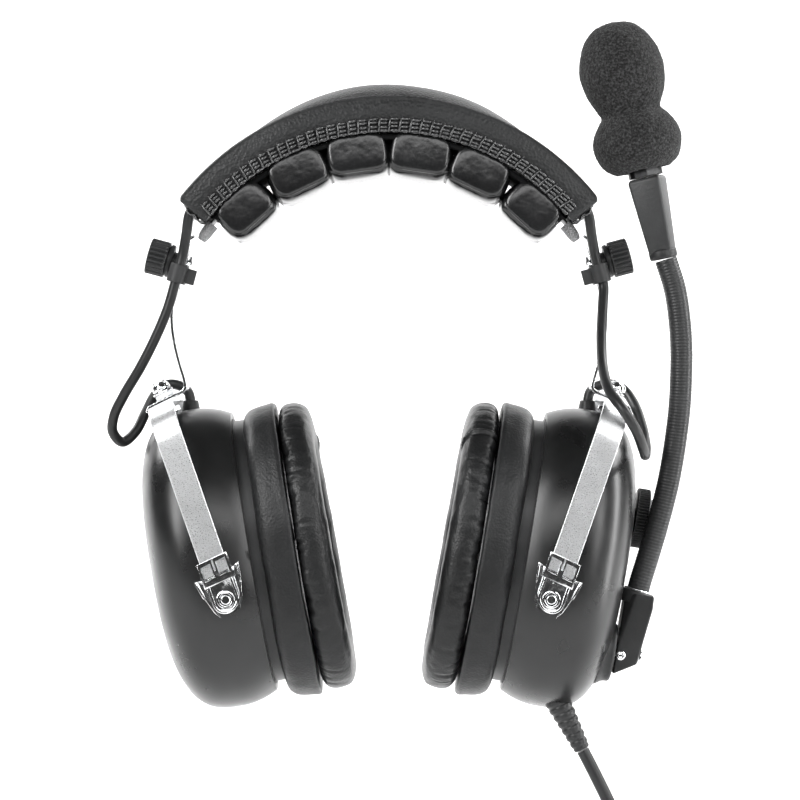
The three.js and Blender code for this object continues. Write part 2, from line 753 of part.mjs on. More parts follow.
// ---------------------------------------------------------------- one side of the headset
function earSide(side) {
  const left = side > 0;
  const name = (piece) => `${piece}_${left ? "left" : "right"}`;
  const whole = new THREE.Group();
  whole.rotation.z = left ? 0 : Math.PI;

  whole.add(
    mesh(name("adjuster_knob"), acrossRun(adjusterKnob(), 1), materials.plastic),
    mesh(name("adjuster_screw"), acrossRun(adjusterScrew(), 1), materials.steel),
    mesh(name("slider_strip"), sliderStrip(), materials.steel),
  );

  const hanger = new THREE.Group();
  hanger.position.set(bracketX, 0, bracketZ);
  hanger.rotation.y = bracketTurn;
  hanger.add(mesh(name("swivel_bolt"), swivelBolt(), materials.steel));
  hanger.add(mesh(name("stirrup"), stirrup(), materials.steel));

  const cup = new THREE.Group();
  cup.position.set(domeX, 0, domeZ);
  cup.rotation.y = domeTurn;

  for (const face of [-1, 1]) {
    const place = face * side < 0 ? "front" : "rear";
    const clip = mesh(`${name("pivot_clip")}_${place}`, pivotClip(face), materials.steel);
    clip.position.set(pinAlongX, face * stirrupHalfSpan, pinAlongZ);
    clip.rotation.z = face > 0 ? 0 : Math.PI;
    hanger.add(clip);
    const pin = mesh(`${name("pivot_pin")}_${place}`, pivotPin(), materials.steel);
    pin.position.set(pinN, face * stirrupHalfSpan, pinU);
    pin.rotation.x = (-face * Math.PI) / 2;
    cup.add(pin);
  }

  cup.add(
    mesh(name("dome_shell"), domeShell(left), materials.plastic),
    mesh(name("baffle_plate"), bafflePlate(), materials.plastic),
    mesh(name("ear_seal_base"), sealRing(51, 33, sealBaseFront, sealBaseBack, 4.5),
      materials.leather),
    mesh(name("ear_seal_cushion"), sealRing(50, 31, sealBaseBack - gap, cushionBack, 5.4),
      materials.leather),
    mesh(name("speaker_driver"), speakerDriver(), materials.blackMetal),
    mesh(name("speaker_foam"), speakerFoam(), materials.foam),
    mesh(name("dome_liner"), domeLiner(left), materials.foam),
  );
  if (left) {
    cup.add(
      mesh("volume_pot", volumePot(), materials.blackMetal),
      mesh("volume_knob", volumeKnob(), materials.plastic),
      mesh("boom_base", boomBase(), materials.plastic),
      mesh("boom_block", boomBlock(), materials.plastic),
      mesh("boom_screw", boomScrew(), materials.steel),
    );
  }
  whole.add(hanger, cup);
  return whole;
}

headset.add(earSide(1), earSide(-1));
headset.add(
  mesh("cord_clip_left", cordClip(1), materials.rubber),
  mesh("cord_clip_right", cordClip(-1), materials.rubber),
);

// ---------------------------------------------------------------- boom's far end
headset.add(
  mesh("boom_flex_lower", tube(lowerNeck.map(([x, y, z]) => vec(x, y, z)), boomRadius, 10, 12),
    materials.blackMetal),
  mesh("boom_flex_upper", flexUpper(), materials.blackMetal),
);

const mic = new THREE.Group();
mic.position.set(95.2, boomY, 102.6);
mic.rotation.y = rad(-12.3);
mic.add(
  mesh("mic_housing", micHousing(), materials.plastic),
  mesh("mic_capsule", rod(6, 27.4, 44, 16), materials.blackMetal),
);
const screen = new THREE.Group();
screen.position.set(88.6, boomY, 130.6);
screen.rotation.y = rad(-12.3);
screen.add(mesh("windscreen", windscreen(), materials.foam));
headset.add(mic, screen);

// ---------------------------------------------------------------- hanging lead
const reliefTop = [56.9, -12, -49.4];
const reliefLean = 27;
const reliefLength = 22;

function strainRelief() {
  const boot = turned([
    [0, 0], [4.6, 0], [4.3, -8], [3, -reliefLength], [0, -reliefLength],
  ], 16).rotateY(rad(-reliefLean)).translate(...reliefTop);
  const dome = grownDome().rotateY(domeTurn).translate(domeX, 0, domeZ);
  return cut(boot, dome);
}

// From the strain relief's end, out and down, then straight down to the coil's front
const leadRoute = [
  [67.1, -12, -69.4], [70, -12, -75], [73, -12, -81], [75.9, -12, -87],
  [78.1, -12, -92.5], [79.5, -12, -98], [80, -12, -103.8],
];

function cordCoil() {
  const s = coilHalfSection;
  const ring = turned([
    [coilMeanRadius - s, -0.5 * s], [coilMeanRadius - 0.5 * s, -s], [coilMeanRadius + 0.5 * s, -s],
    [coilMeanRadius + s, -0.5 * s], [coilMeanRadius + s, 0.5 * s], [coilMeanRadius + 0.5 * s, s],
    [coilMeanRadius - 0.5 * s, s], [coilMeanRadius - s, 0.5 * s], [coilMeanRadius - s, -0.5 * s],
  ], 22);
  return ring.rotateY(Math.PI / 2).translate(...coilCentre);
}

// Strap round the bundle at the rear of the coil
function cordTie() {
  const half = coilHalfSection + gap + 0.8;
  const wall = 0.8;
  const strapWidth = 10;
  const outer = box(2 * (half + wall), 2 * (half + wall), strapWidth);
  const inner = box(2 * half, 2 * half, 2 * strapWidth);
  const [x, y, z] = coilCentre;
  return cut(outer, inner).translate(x, y + coilMeanRadius, z);
}

// Single moulded plug, tip down, its boot under the coil's front edge
function plug() {
  const profile = [
    [0, 0], [3, 0], [4.2, -10], [6.6, -12], [6.6, -32], [5.4, -34], [3.55, -34],
    [3.55, -54], [2.6, -55], [2.6, -56.5], [3.3, -58], [2.2, -60.5], [0, -61],
  ];
  const [x, y, z] = coilCentre;
  return turned(profile, 14).translate(x, y - coilMeanRadius, z - coilMeanRadius + 1);
}

headset.add(
  mesh("cord_strain_relief", strainRelief(), materials.rubber),
  mesh("comm_cord", tube(leadRoute.map(([x, y, z]) => vec(x, y, z)), leadRadius, 10, 10),
    materials.rubber),
  mesh("cord_coil", cordCoil(), materials.rubber),
  mesh("cord_tie", cordTie(), materials.rubber),
  mesh("plug", plug(), materials.blackMetal),
);

export default headset;
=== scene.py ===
import math
import random

import bmesh
import bpy
import numpy as np
from mathutils import Matrix, Vector, noise


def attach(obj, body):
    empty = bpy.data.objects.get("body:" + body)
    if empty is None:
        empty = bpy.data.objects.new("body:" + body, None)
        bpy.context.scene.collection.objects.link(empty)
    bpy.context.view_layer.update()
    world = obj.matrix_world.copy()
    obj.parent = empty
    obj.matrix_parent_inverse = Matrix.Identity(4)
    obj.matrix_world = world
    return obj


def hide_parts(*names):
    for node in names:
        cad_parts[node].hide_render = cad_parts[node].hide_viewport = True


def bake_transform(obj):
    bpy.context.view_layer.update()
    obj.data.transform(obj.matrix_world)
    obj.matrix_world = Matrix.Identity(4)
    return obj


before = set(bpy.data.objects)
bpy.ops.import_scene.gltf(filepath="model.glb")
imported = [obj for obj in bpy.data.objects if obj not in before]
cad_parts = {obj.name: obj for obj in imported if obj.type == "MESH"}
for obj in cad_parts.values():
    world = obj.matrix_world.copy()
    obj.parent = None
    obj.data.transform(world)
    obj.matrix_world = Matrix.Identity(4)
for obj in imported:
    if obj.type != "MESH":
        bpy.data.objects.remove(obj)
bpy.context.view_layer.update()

MM = 0.001

# Head pad, round a line through (0, PAD_CENTRE_Z) parallel to Y
PAD_CENTRE_Z = 64
PAD_LOWER = 80
PAD_RIDGE = 91
PAD_CROWN = 6.6
PAD_CROWN_HALF_ANGLE = 36
PAD_HALF_ANGLE = 52
PAD_HALF_WIDTH = 25
PAD_END_HALF_WIDTH = 20
PAD_WALL = 1.6
BAND_RADIUS = 88.9
BAND_ARC_END = 46
PAD_WIRE_RADIUS = 85.4
PAD_WIRE_Y = -13.5
LOBE_PITCH = 17
LOBE_ANGLES = [(i - 2.5) * LOBE_PITCH for i in range(6)]
LACING_PITCH = 3.6

# Adjuster run, hanger bracket, stirrup
RUN_X, RUN_Z, RUN_LEAN = 71.6, 99.1, 15
BRACKET_X, BRACKET_Z, BRACKET_LEAN = 77.8, 51.9, 25.8
STIRRUP_HALF_SPAN = 45.2
STIRRUP_BEND = 12
STIRRUP_TOP = -1.95
STIRRUP_ARM_LEAN = 8.1
STIRRUP_THICKNESS = 1.3
STIRRUP_WIDTH = 9
PIN_X, PIN_Z = 54.5, -15

# Ear cup: n runs outwards along the dome's axis, u runs up its base plane
DOME_X, DOME_Z, DOME_LEAN = 47, -1, 9.5
DOME_HALF_HEIGHT = 52.5
DOME_HALF_WIDTH = 40
DOME_DEPTH = 36
DOME_GIRTH = 13
DOME_RIM = 49
DOME_WALL = 2.2
OVAL_POWER = 2.3

# Boom, in the dome's axes, and the comm lead
BOOM_U, BOOM_Y = -29.3, -8
BOOM_RADIUS = 3.95
SEAL_DROP = 1.5
KNOB_U, KNOB_Y = 17.8, 8
KNOB_RIDGES = 60
WIRE_RADIUS = 1.8
LEAD_RADIUS = 0.00225
COIL_CENTRE = (0.080, 0.013, -0.127)
COIL_RADIUS = 0.025
FLOOR_Z = -0.2145

# Ear seals: the seam where the soft cushion meets its base, and the dome's mean radius,
# which turns an angle round the cushion into a distance along it
SEAL_SEAM = -16.2
SEAL_MEAN_RADIUS = 44


# ---------------------------------------------------------------- camera
def make_camera():
    """Level camera in front of the wearer's face, a little to their left."""
    data = bpy.data.cameras.new("camera")
    data.lens = 135
    data.sensor_width = 36
    data.clip_start = 0.05
    camera = bpy.data.objects.new("camera", data)
    camera.location = (0.00385, -1.05, 0.0518)
    camera.rotation_euler = (math.pi / 2, 0, 0)
    bpy.context.scene.collection.objects.link(camera)
    bpy.context.scene.camera = camera


# ---------------------------------------------------------------- shapes
# A shape is a pair: its points in millimetres, and its faces as lists of point numbers.
def skin(rings, closed=False):
    """The surface through rings of points. A ring of one point ends it in a tip, a longer
    end ring is capped, and closed joins the last ring to the first."""
    points = []
    starts = []
    for ring in rings:
        starts.append(len(points))
        points += [Vector(p) for p in ring]
    faces = []
    pairs = list(range(len(rings) - 1))
    if closed:
        pairs.append(len(rings) - 1)
    for i in pairs:
        j = (i + 1) % len(rings)
        a, b = starts[i], starts[j]
        count_a, count_b = len(rings[i]), len(rings[j])
        for k in range(max(count_a, count_b)):
            m = (k + 1) % max(count_a, count_b)
            if count_a == 1:
                faces.append([a, b + k, b + m])
            elif count_b == 1:
                faces.append([a + k, a + m, b])
            else:
                faces.append([a + k, a + m, b + m, b + k])
    if not closed:
        for ring, start in ((rings[0], starts[0]), (rings[-1], starts[-1])):
            if len(ring) > 2:
                faces.append([start + k for k in range(len(ring))])
    return points, faces


def merge(*shapes):
    points, faces = [], []
    for some_points, some_faces in shapes:
        first = len(points)
        points += some_points
        faces += [[first + i for i in face] for face in some_faces]
    return points, faces


def moved(shape, matrix):
    return [matrix @ Vector(p) for p in shape[0]], shape[1]


def at(x, y, z):
    return Matrix.Translation((x, y, z))


def turn(degrees, axis):
    return Matrix.Rotation(math.radians(degrees), 4, axis)


def rounded(points, radius, steps=3, closed=False):
    """The outline with its corners eased, each by a short curve."""
    result = []
    count = len(points)
    for i, point in enumerate(points):
        corner = Vector(point)
        if not closed and i in (0, count - 1):
            result.append(corner)
            continue
        before = Vector(points[i - 1])
        after = Vector(points[(i + 1) % count])
        reach = min(radius, (before - corner).length / 2.1, (after - corner).length / 2.1)
        start = corner + (before - corner).normalized() * reach
        end = corner + (after - corner).normalized() * reach
        for k in range(steps + 1):
            t = k / steps
            result.append(start * (1 - t) ** 2 + corner * 2 * t * (1 - t) + end * t * t)
    return result


def evenly(points, count):
    """count points spaced evenly along the open outline."""
    points = [Vector(p) for p in points]
    lengths = [0]
    for a, b in zip(points, points[1:]):
        lengths.append(lengths[-1] + (b - a).length)
    result = []
    i = 0
    for k in range(count):
        wanted = lengths[-1] * k / (count - 1)
        while i < len(points) - 2 and lengths[i + 1] < wanted:
            i += 1
        share = (wanted - lengths[i]) / max(lengths[i + 1] - lengths[i], 1e-9)
        result.append(points[i].lerp(points[i + 1], min(max(share, 0), 1)))
    return result


def smooth_route(points, steps):
    """A centripetal Catmull-Rom curve through the points, steps to a span."""
    p = [Vector(q) for q in points]
    p = [p[0] * 2 - p[1], *p, p[-1] * 2 - p[-2]]
    route = []
    for i in range(1, len(p) - 2):
        a, b, c, d = p[i - 1:i + 3]
        t1, t2, t3 = (b - a).length ** 0.5, (c - b).length ** 0.5, (d - c).length ** 0.5
        leave = ((b - a) / t1 - (c - a) / (t1 + t2) + (c - b) / t2) * t2
        arrive = ((c - b) / t2 - (d - b) / (t2 + t3) + (d - c) / t3) * t2
        for k in range(steps):
            t = k / steps
            square = (c - b) * 3 - leave * 2 - arrive
            cube = (b - c) * 2 + leave + arrive
            route.append(b + leave * t + square * t * t + cube * t ** 3)
    route.append(p[-2])
    return route


def tube(route, radius, sides=20):
    """A round bar along the route. radius is a number, or a function of the distance along."""
    route = [Vector(p) for p in route]
    rings = []
    normal = None
    along = 0
    for i, point in enumerate(route):
        ahead = route[min(i + 1, len(route) - 1)] - route[max(i - 1, 0)]
        ahead.normalize()
        if normal is None:
            normal = ahead.orthogonal()
        normal = (normal - ahead * normal.dot(ahead)).normalized()
        side = ahead.cross(normal)
        if i:
            along += (point - route[i - 1]).length
        r = radius(along) if callable(radius) else radius
        ring = []
        for k in range(sides):
            angle = 2 * math.pi * k / sides
            ring.append(point + (normal * math.cos(angle) + side * math.sin(angle)) * r)
        rings.append(ring)
    return skin(rings)


def lathe(profile, segments=48, ridges=None):
    """Turned about Z from [radius, height] pairs. ridges(angle, height) changes the radius."""
    rings = []
    for radius, height in profile:
        if radius < 1e-6:
            rings.append([(0, 0, height)])
            continue
        ring = []
        for k in range(segments):
            angle = 2 * math.pi * k / segments
            r = radius - (ridges(angle, height) if ridges else 0)
            ring.append((r * math.cos(angle), r * math.sin(angle), height))
        rings.append(ring)
    return skin(rings)


def block(size, centre=(0, 0, 0)):
    """A plain box; edge softening gives it its rounding."""
    x, y, z = (s / 2 for s in size)
    ring = [(-x, -y), (x, -y), (x, y), (-x, y)]
    return moved(skin([[(a, b, h) for a, b in ring] for h in (-z, z)]), at(*centre))


def prism(outline, low, high):
    return skin([[(x, y, h) for x, y in outline] for h in (low, high)])


def arc(x, y, radius, start, end, steps):
    points = []
    for i in range(steps + 1):
        angle = math.radians(start + (end - start) * i / steps)
        points.append((x + radius * math.cos(angle), y + radius * math.sin(angle)))
    return points


def plate(outlines, thickness, edge=0.12):
    """A flat plate with eased edges, round z 0: first its outline, then its holes."""
    curve = bpy.data.curves.new("plate", "CURVE")
    curve.dimensions = "2D"
    curve.fill_mode = "BOTH"
    curve.extrude = thickness / 2 - edge
    curve.bevel_depth = edge
    curve.bevel_resolution = 1
    curve.offset = -edge
    for outline in outlines:
        spline = curve.splines.new("POLY")
        spline.points.add(len(outline) - 1)
        for point, (x, y) in zip(spline.points, outline):
            point.co = (x, y, 0, 1)
        spline.use_cyclic_u = True
    holder = bpy.data.objects.new("plate", curve)
    made = bpy.data.meshes.new_from_object(holder)
    bm = bmesh.new()
    bm.from_mesh(made)
    bmesh.ops.remove_doubles(bm, verts=bm.verts, dist=1e-4)
    points = [v.co.copy() for v in bm.verts]
    faces = [[v.index for v in face.verts] for face in bm.faces]
    bm.free()
    bpy.data.objects.remove(holder)
    bpy.data.curves.remove(curve)
    bpy.data.meshes.remove(made)
    return points, faces


def sheet_metal(centres, normals, across, columns, thickness, is_hole=None):
    """A strip of sheet along the centres. columns are places across it, and is_hole(i, j)
    says which cells are cut out."""
    points = []
    for centre, normal in zip(centres, normals):
        for side in (1, -1):
            for column in columns:
                points.append(centre + across * column + normal * (side * thickness / 2))
    wide = len(columns)

    def corner(i, j, side):
        return i * 2 * wide + (0 if side > 0 else wide) + j

    def solid(i, j):
        inside = 0 <= i < len(centres) - 1 and 0 <= j < wide - 1
        return inside and not (is_hole and is_hole(i, j))

    faces = []
    for i in range(len(centres) - 1):
        for j in range(wide - 1):
            if not solid(i, j):
                continue
            for side in (1, -1):
                faces.append([corner(i, j, side), corner(i + 1, j, side),
                              corner(i + 1, j + 1, side), corner(i, j + 1, side)])
            edges = [((i - 1, j), (i, j), (i, j + 1)), ((i + 1, j), (i + 1, j), (i + 1, j + 1)),
                     ((i, j - 1), (i, j), (i + 1, j)), ((i, j + 1), (i, j + 1), (i + 1, j + 1))]
            for neighbour, a, b in edges:
                if not solid(*neighbour):
                    faces.append([corner(*a, 1), corner(*b, 1), corner(*b, -1), corner(*a, -1)])
    return points, faces


def oval(profile, segments=112, closed=False):
    """An oval turned piece about X from [half height, n] pairs, narrower front to back."""
    rings = []
    for half_height, n in profile:
        if half_height < 1e-6:
            rings.append([(n, 0, 0)])
            continue
        ring = []
        for k in range(segments):
            angle = 2 * math.pi * k / segments
            reach = abs(math.cos(angle)) ** OVAL_POWER + abs(math.sin(angle)) ** OVAL_POWER
            grown = half_height * reach ** (-1 / OVAL_POWER)
            y = grown * math.cos(angle) * DOME_HALF_WIDTH / DOME_HALF_HEIGHT
            ring.append((n, y, grown * math.sin(angle)))
        rings.append(ring)
    return skin(rings, closed)


# ---------------------------------------------------------------- pieces
def add_piece(name, shape, look, body, replaced=(), ease=0, sharp=35, grow=0):
    """A finished piece: ease rounds its edges, grow is a number of subdivision levels."""
    mesh = bpy.data.meshes.new(name)
    mesh.from_pydata([tuple(Vector(p) * MM) for p in shape[0]], [], shape[1])
    bm = bmesh.new()
    bm.from_mesh(mesh)
    loose = [v for v in bm.verts if not v.link_faces]
    bmesh.ops.delete(bm, geom=loose, context="VERTS")
    bmesh.ops.recalc_face_normals(bm, faces=bm.faces)
    bm.to_mesh(mesh)
    bm.free()
    mesh.materials.append(look)
    mesh.shade_smooth()
    mesh.set_sharp_from_angle(angle=math.radians(sharp))
    piece = bpy.data.objects.new(name, mesh)
    bpy.context.scene.collection.objects.link(piece)
    if ease:
        bevel = piece.modifiers.new("eased", "BEVEL")
        bevel.width = ease * MM
        bevel.segments = 2
        bevel.limit_method = "ANGLE"
        bevel.angle_limit = math.radians(sharp)
        bevel.harden_normals = True
    if grow:
        finer = piece.modifiers.new("finer", "SUBSURF")
        finer.levels = grow
        finer.render_levels = grow
    if body:
        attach(piece, body)
    if replaced:
        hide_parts(*replaced)
    return piece


def side_frame(side):
    """The right side's hardware is the left side's, turned half round Z."""
    return Matrix.Identity(4) if side == "left" else turn(180, "Z")


def run_frame():
    """Local X down the adjuster run, Z outwards, origin at the clamp screw."""
    lean = math.radians(RUN_LEAN)
    rows = Matrix((
        (math.sin(lean), 0, math.cos(lean), RUN_X),
        (0, 1, 0, 0),
        (-math.cos(lean), 0, math.sin(lean), RUN_Z),
        (0, 0, 0, 1),
    ))
    return rows


def hanger_frame():
    return at(BRACKET_X, 0, BRACKET_Z) @ turn(BRACKET_LEAN, "Y")


def cup_frame():
    return at(DOME_X, 0, DOME_Z) @ turn(DOME_LEAN, "Y")


# ---------------------------------------------------------------- materials
class Look:
    """A procedural material built round one Principled shader."""

    def __init__(self, name, roughness, metallic=0, coat=0, coat_roughness=0.1, sheen=0,
                 specular=0.5):
        self.material = bpy.data.materials.new(name)
        self.material.use_nodes = True
        self.tree = self.material.node_tree
        self.shader = self.tree.nodes["Principled BSDF"]
        self.shader.inputs["Roughness"].default_value = roughness
        self.shader.inputs["Metallic"].default_value = metallic
        self.shader.inputs["Coat Weight"].default_value = coat
        self.shader.inputs["Coat Roughness"].default_value = coat_roughness
        self.shader.inputs["Sheen Weight"].default_value = sheen
        self.shader.inputs["Specular IOR Level"].default_value = specular
        self.height = None

    def node(self, kind, **values):
        made = self.tree.nodes.new(kind)
        for key, value in values.items():
            if key in made.inputs:
                made.inputs[key].default_value = value
            else:
                setattr(made, key, value)
        return made

    def place(self, stretch=(1, 1, 1), lean=(0, 0, 0)):
        coordinates = self.node("ShaderNodeTexCoord")
        mapping = self.node("ShaderNodeMapping", Scale=stretch, Rotation=lean)
        self.tree.links.new(coordinates.outputs["Object"], mapping.inputs["Vector"])
        return mapping.outputs["Vector"]

    def noise(self, scale, detail=3, where=None, roughness=0.55):
        made = self.node("ShaderNodeTexNoise", Scale=scale, Detail=detail, Roughness=roughness)
        self.tree.links.new(where or self.place(), made.inputs["Vector"])
        return made.outputs["Fac"]

    def cells(self, scale, feature="F1", where=None, smooth=None):
        made = self.node("ShaderNodeTexVoronoi", Scale=scale)
        made.feature = feature
        if smooth is not None:
            made.inputs["Smoothness"].default_value = smooth
        self.tree.links.new(where or self.place(), made.inputs["Vector"])
        return made.outputs["Distance"]

    def ramp(self, source, *stops):
        made = self.node("ShaderNodeValToRGB")
        band = made.color_ramp
        while len(band.elements) < len(stops):
            band.elements.new(0.5)
        for element, (position, value) in zip(band.elements, stops):
            element.position = position
            element.color = value if isinstance(value, tuple) else (value, value, value, 1)
        self.tree.links.new(source, made.inputs["Fac"])
        return made.outputs["Color"]

    def mix(self, kind, a, b, share=1.0):
        made = self.node("ShaderNodeMix", data_type="RGBA", blend_type=kind)
        made.inputs["Factor"].default_value = share
        self.tree.links.new(a, made.inputs["A"])
        self.tree.links.new(b, made.inputs["B"])
        return made.outputs["Result"]

    def colour(self, source):
        self.tree.links.new(source, self.shader.inputs["Base Color"])

    def rough(self, source):
        self.tree.links.new(source, self.shader.inputs["Roughness"])

    def bump(self, source, depth, strength=1.0):
        """depth in millimetres. Later bumps add to earlier ones."""
        made = self.node("ShaderNodeBump", Strength=strength, Distance=depth * MM)
        self.tree.links.new(source, made.inputs["Height"])
        if self.height:
            self.tree.links.new(self.height, made.inputs["Normal"])
        self.height = made.outputs["Normal"]
        self.tree.links.new(self.height, self.shader.inputs["Normal"])

    def edges(self, low=0.5, high=0.62):
        """Light on convex edges, for wear."""
        geometry = self.node("ShaderNodeNewGeometry")
        return self.ramp(geometry.outputs["Pointiness"], (low, 0.0), (high, 1.0))


def grey(value, tint=0.0):
    return (value * (1 - tint), value, value * (1 + tint), 1)


def leather_look(name, base, roughness, grain=950, depth=0.16, spread=0.12, specular=0.22):
    """Grained leather: closed cells, fine pores between them, and rubbed high places."""
    look = Look(name, roughness, specular=specular)
    cells = look.cells(grain, "SMOOTH_F1", smooth=0.35)
    fine = look.noise(grain * 2.2, 4)
    patches = look.noise(38, 4)
    tone = look.ramp(patches, (0.3, grey(base * 0.7, 0.02)), (0.7, grey(base * 1.35, 0.03)))
    worn = look.ramp(look.edges(), (0, grey(1)), (1, grey(1.8)))
    look.colour(look.mix("MULTIPLY", tone, worn))
    look.rough(look.ramp(fine, (0.25, roughness - spread), (0.75, roughness + spread)))
    look.bump(look.noise(120, 3), 0.5, 0.5)
    look.bump(cells, depth, 0.8)
    look.bump(fine, depth * 0.35, 0.6)
    return look.material


def moulded_look(name, base, roughness, texture=1400, depth=0.03, coat=0.0, specular=0.25):
    """Moulded plastic: an even spark-eroded texture, faint flow marks and handling marks."""
    look = Look(name, roughness, coat=coat, coat_roughness=0.2, specular=specular)
    fine = look.noise(texture, 3)
    marks = look.noise(70, 5)
    look.colour(look.ramp(marks, (0.3, grey(base * 0.8, 0.02)), (0.7, grey(base * 1.25, 0.02))))
    look.rough(look.ramp(marks, (0.3, roughness - 0.05), (0.7, roughness + 0.07)))
    look.bump(fine, depth, 0.7)
    return look.material


def steel_look(name, base, roughness, lean=(0, 0, 0), stretch=(3000, 90, 3000), tint=0.01):
    """Brushed stainless: fine long scratches and faint blotches."""
    look = Look(name, roughness, metallic=1)
    scratches = look.noise(1, 3, look.place(stretch, lean))
    blotches = look.noise(90, 4)
    tone = look.ramp(blotches, (0.3, grey(base * 0.86, tint)), (0.7, grey(base, tint)))
    lines = look.ramp(scratches, (0.3, grey(0.86)), (0.7, grey(1)))
    look.colour(look.mix("MULTIPLY", tone, lines))
    look.rough(look.ramp(scratches, (0.3, roughness - 0.06), (0.7, roughness + 0.1)))
    look.bump(scratches, 0.012, 0.6)
    return look.material


def foam_look(name, base, pores=1500, depth=0.35):
    """Open-cell foam: pores between cell walls in the bump, with painted shade darkening the sunken
    pores and painted light on the raised walls.
    """
    look = Look(name, 0.95, sheen=0.06, specular=0.1)
    walls = look.cells(pores, "DISTANCE_TO_EDGE")
    pore_relief_and_shade = look.noise(pores * 0.9, 4)
    # painted shade and light: the tone follows the bump's noise, dark in the sunken pores and pale on
    # the raised walls
    tone = look.ramp(pore_relief_and_shade, (0.36, grey(base * 0.35, 0.01)), (0.5, grey(base)),
                     (0.66, grey(base * 2.4, 0.01)))
    look.colour(tone)
    look.bump(walls, depth, 0.6)
    look.bump(pore_relief_and_shade, depth, 0.9)
    return look.material


def backdrop_look():
    look = Look("pale_sweep", 0.9, specular=0.1)
    mottle = look.noise(3, 4)
    look.colour(look.ramp(mottle, (0.3, grey(0.86)), (0.7, grey(0.9))))
    return look.material


def make_looks():
    return {
        "leather": leather_look("pad_leather", 0.012, 0.42, grain=1000, depth=0.24),
        "seal": leather_look("seal_leather", 0.01, 0.4, grain=1250, depth=0.1),
        "cushion": leather_look("cushion_leather", 0.009, 0.36, grain=1300, depth=0.09),
        "leatherette": leather_look("glossy_leatherette", 0.007, 0.22, grain=500, depth=0.03,
                                    spread=0.05, specular=0.45),
        "lining": leather_look("pad_lining", 0.004, 0.8, grain=1500, depth=0.1, specular=0.05),
        "thread": moulded_look("waxed_thread", 0.02, 0.2, texture=2600, depth=0.04, specular=0.7),
        "dome": moulded_look("satin_dome", 0.007, 0.3, texture=1900, depth=0.012, specular=0.4),
        "plastic": moulded_look("textured_plastic", 0.016, 0.42, texture=1300, depth=0.05),
        "mic": moulded_look("speckled_plastic", 0.022, 0.4, texture=900, depth=0.12),
        "rubber": moulded_look("cable_rubber", 0.014, 0.34, texture=1100, depth=0.02),
        "neck": moulded_look("neck_sleeve", 0.018, 0.36, texture=900, depth=0.03),
        "clip": moulded_look("soft_clip", 0.02, 0.45, texture=700, depth=0.05),
        "felt": foam_look("grey_felt", 0.26, pores=3600, depth=0.05),
        "foam": foam_look("windscreen_foam", 0.018),
        "inner_foam": foam_look("inner_foam", 0.05, pores=900),
        "steel": steel_look("brushed_steel", 0.88, 0.3),
        "chrome": steel_look("bright_steel", 0.86, 0.1, stretch=(700, 700, 700)),
        "black_metal": steel_look("blackened_steel", 0.06, 0.36, stretch=(900, 900, 900)),
        "nylon": moulded_look("white_nylon", 0.7, 0.4, texture=500, depth=0.02),
    }


# ---------------------------------------------------------------- cloth
def puffed(piece, voxel, cap, pressure=4.0, frames=20):
    """Fills the closed mesh by cloth simulation: no point moves further than cap, in
    millimetres. The result replaces the piece's mesh."""
    remesh = piece.modifiers.new("voxels", "REMESH")
    remesh.mode = "VOXEL"
    remesh.voxel_size = voxel * MM
    apply_modifiers(piece)
    before = np.array([v.co[:] for v in piece.data.vertices])
    cloth = piece.modifiers.new("fill", "CLOTH")
    settings = cloth.settings
    settings.use_pressure = True
    settings.uniform_pressure_force = pressure
    settings.effector_weights.gravity = 0
    settings.quality = 4
    settings.mass = 0.2
    settings.tension_stiffness = 12
    settings.compression_stiffness = 12
    settings.bending_stiffness = 0.6
    scene = bpy.context.scene
    for number in range(1, frames + 1):
        scene.frame_set(number)
    apply_modifiers(piece)
    scene.frame_set(1)
    after = np.array([v.co[:] for v in piece.data.vertices])
    move = after - before
    length = np.linalg.norm(move, axis=1, keepdims=True)
    move *= np.minimum(1, cap * MM / np.maximum(length, 1e-9))
    piece.data.vertices.foreach_set("co", (before + move).ravel())
    piece.data.update()
    return piece


def apply_modifiers(piece):
    """Puts the evaluated mesh in place of the piece's own, with no modifier left."""
    graph = bpy.context.evaluated_depsgraph_get()
    graph.update()
    made = bpy.data.meshes.new_from_object(piece.evaluated_get(graph))
    piece.modifiers.clear()
    old = piece.data
    name = old.name
    piece.data = made
    bpy.data.meshes.remove(old)
    made.name = name


def subdivided(piece, levels):
    finer = piece.modifiers.new("finer", "SUBSURF")
    finer.levels = levels
    finer.render_levels = levels
    apply_modifiers(piece)
    piece.data.shade_smooth()
    return piece


def pushed(piece, amount):
    """Moves each point along its normal by amount(points, normals), in millimetres."""
    mesh = piece.data
    count = len(mesh.vertices)
    points = np.zeros(count * 3)
    mesh.vertices.foreach_get("co", points)
    points = points.reshape(-1, 3)
    normals = np.array([v.normal[:] for v in mesh.vertices])
    shift = amount(points / MM, normals) * MM
    mesh.vertices.foreach_set("co", (points + normals * shift[:, None]).ravel())
    mesh.update()


# ---------------------------------------------------------------- cords
LEAD_ROUTE = [
    (0.0671, -0.012, -0.0694), (0.070, -0.012, -0.075), (0.073, -0.012, -0.081),
    (0.0759, -0.012, -0.087), (0.0781, -0.012, -0.0925), (0.0795, -0.012, -0.098),
    (0.080, -0.012, -0.1038),
]


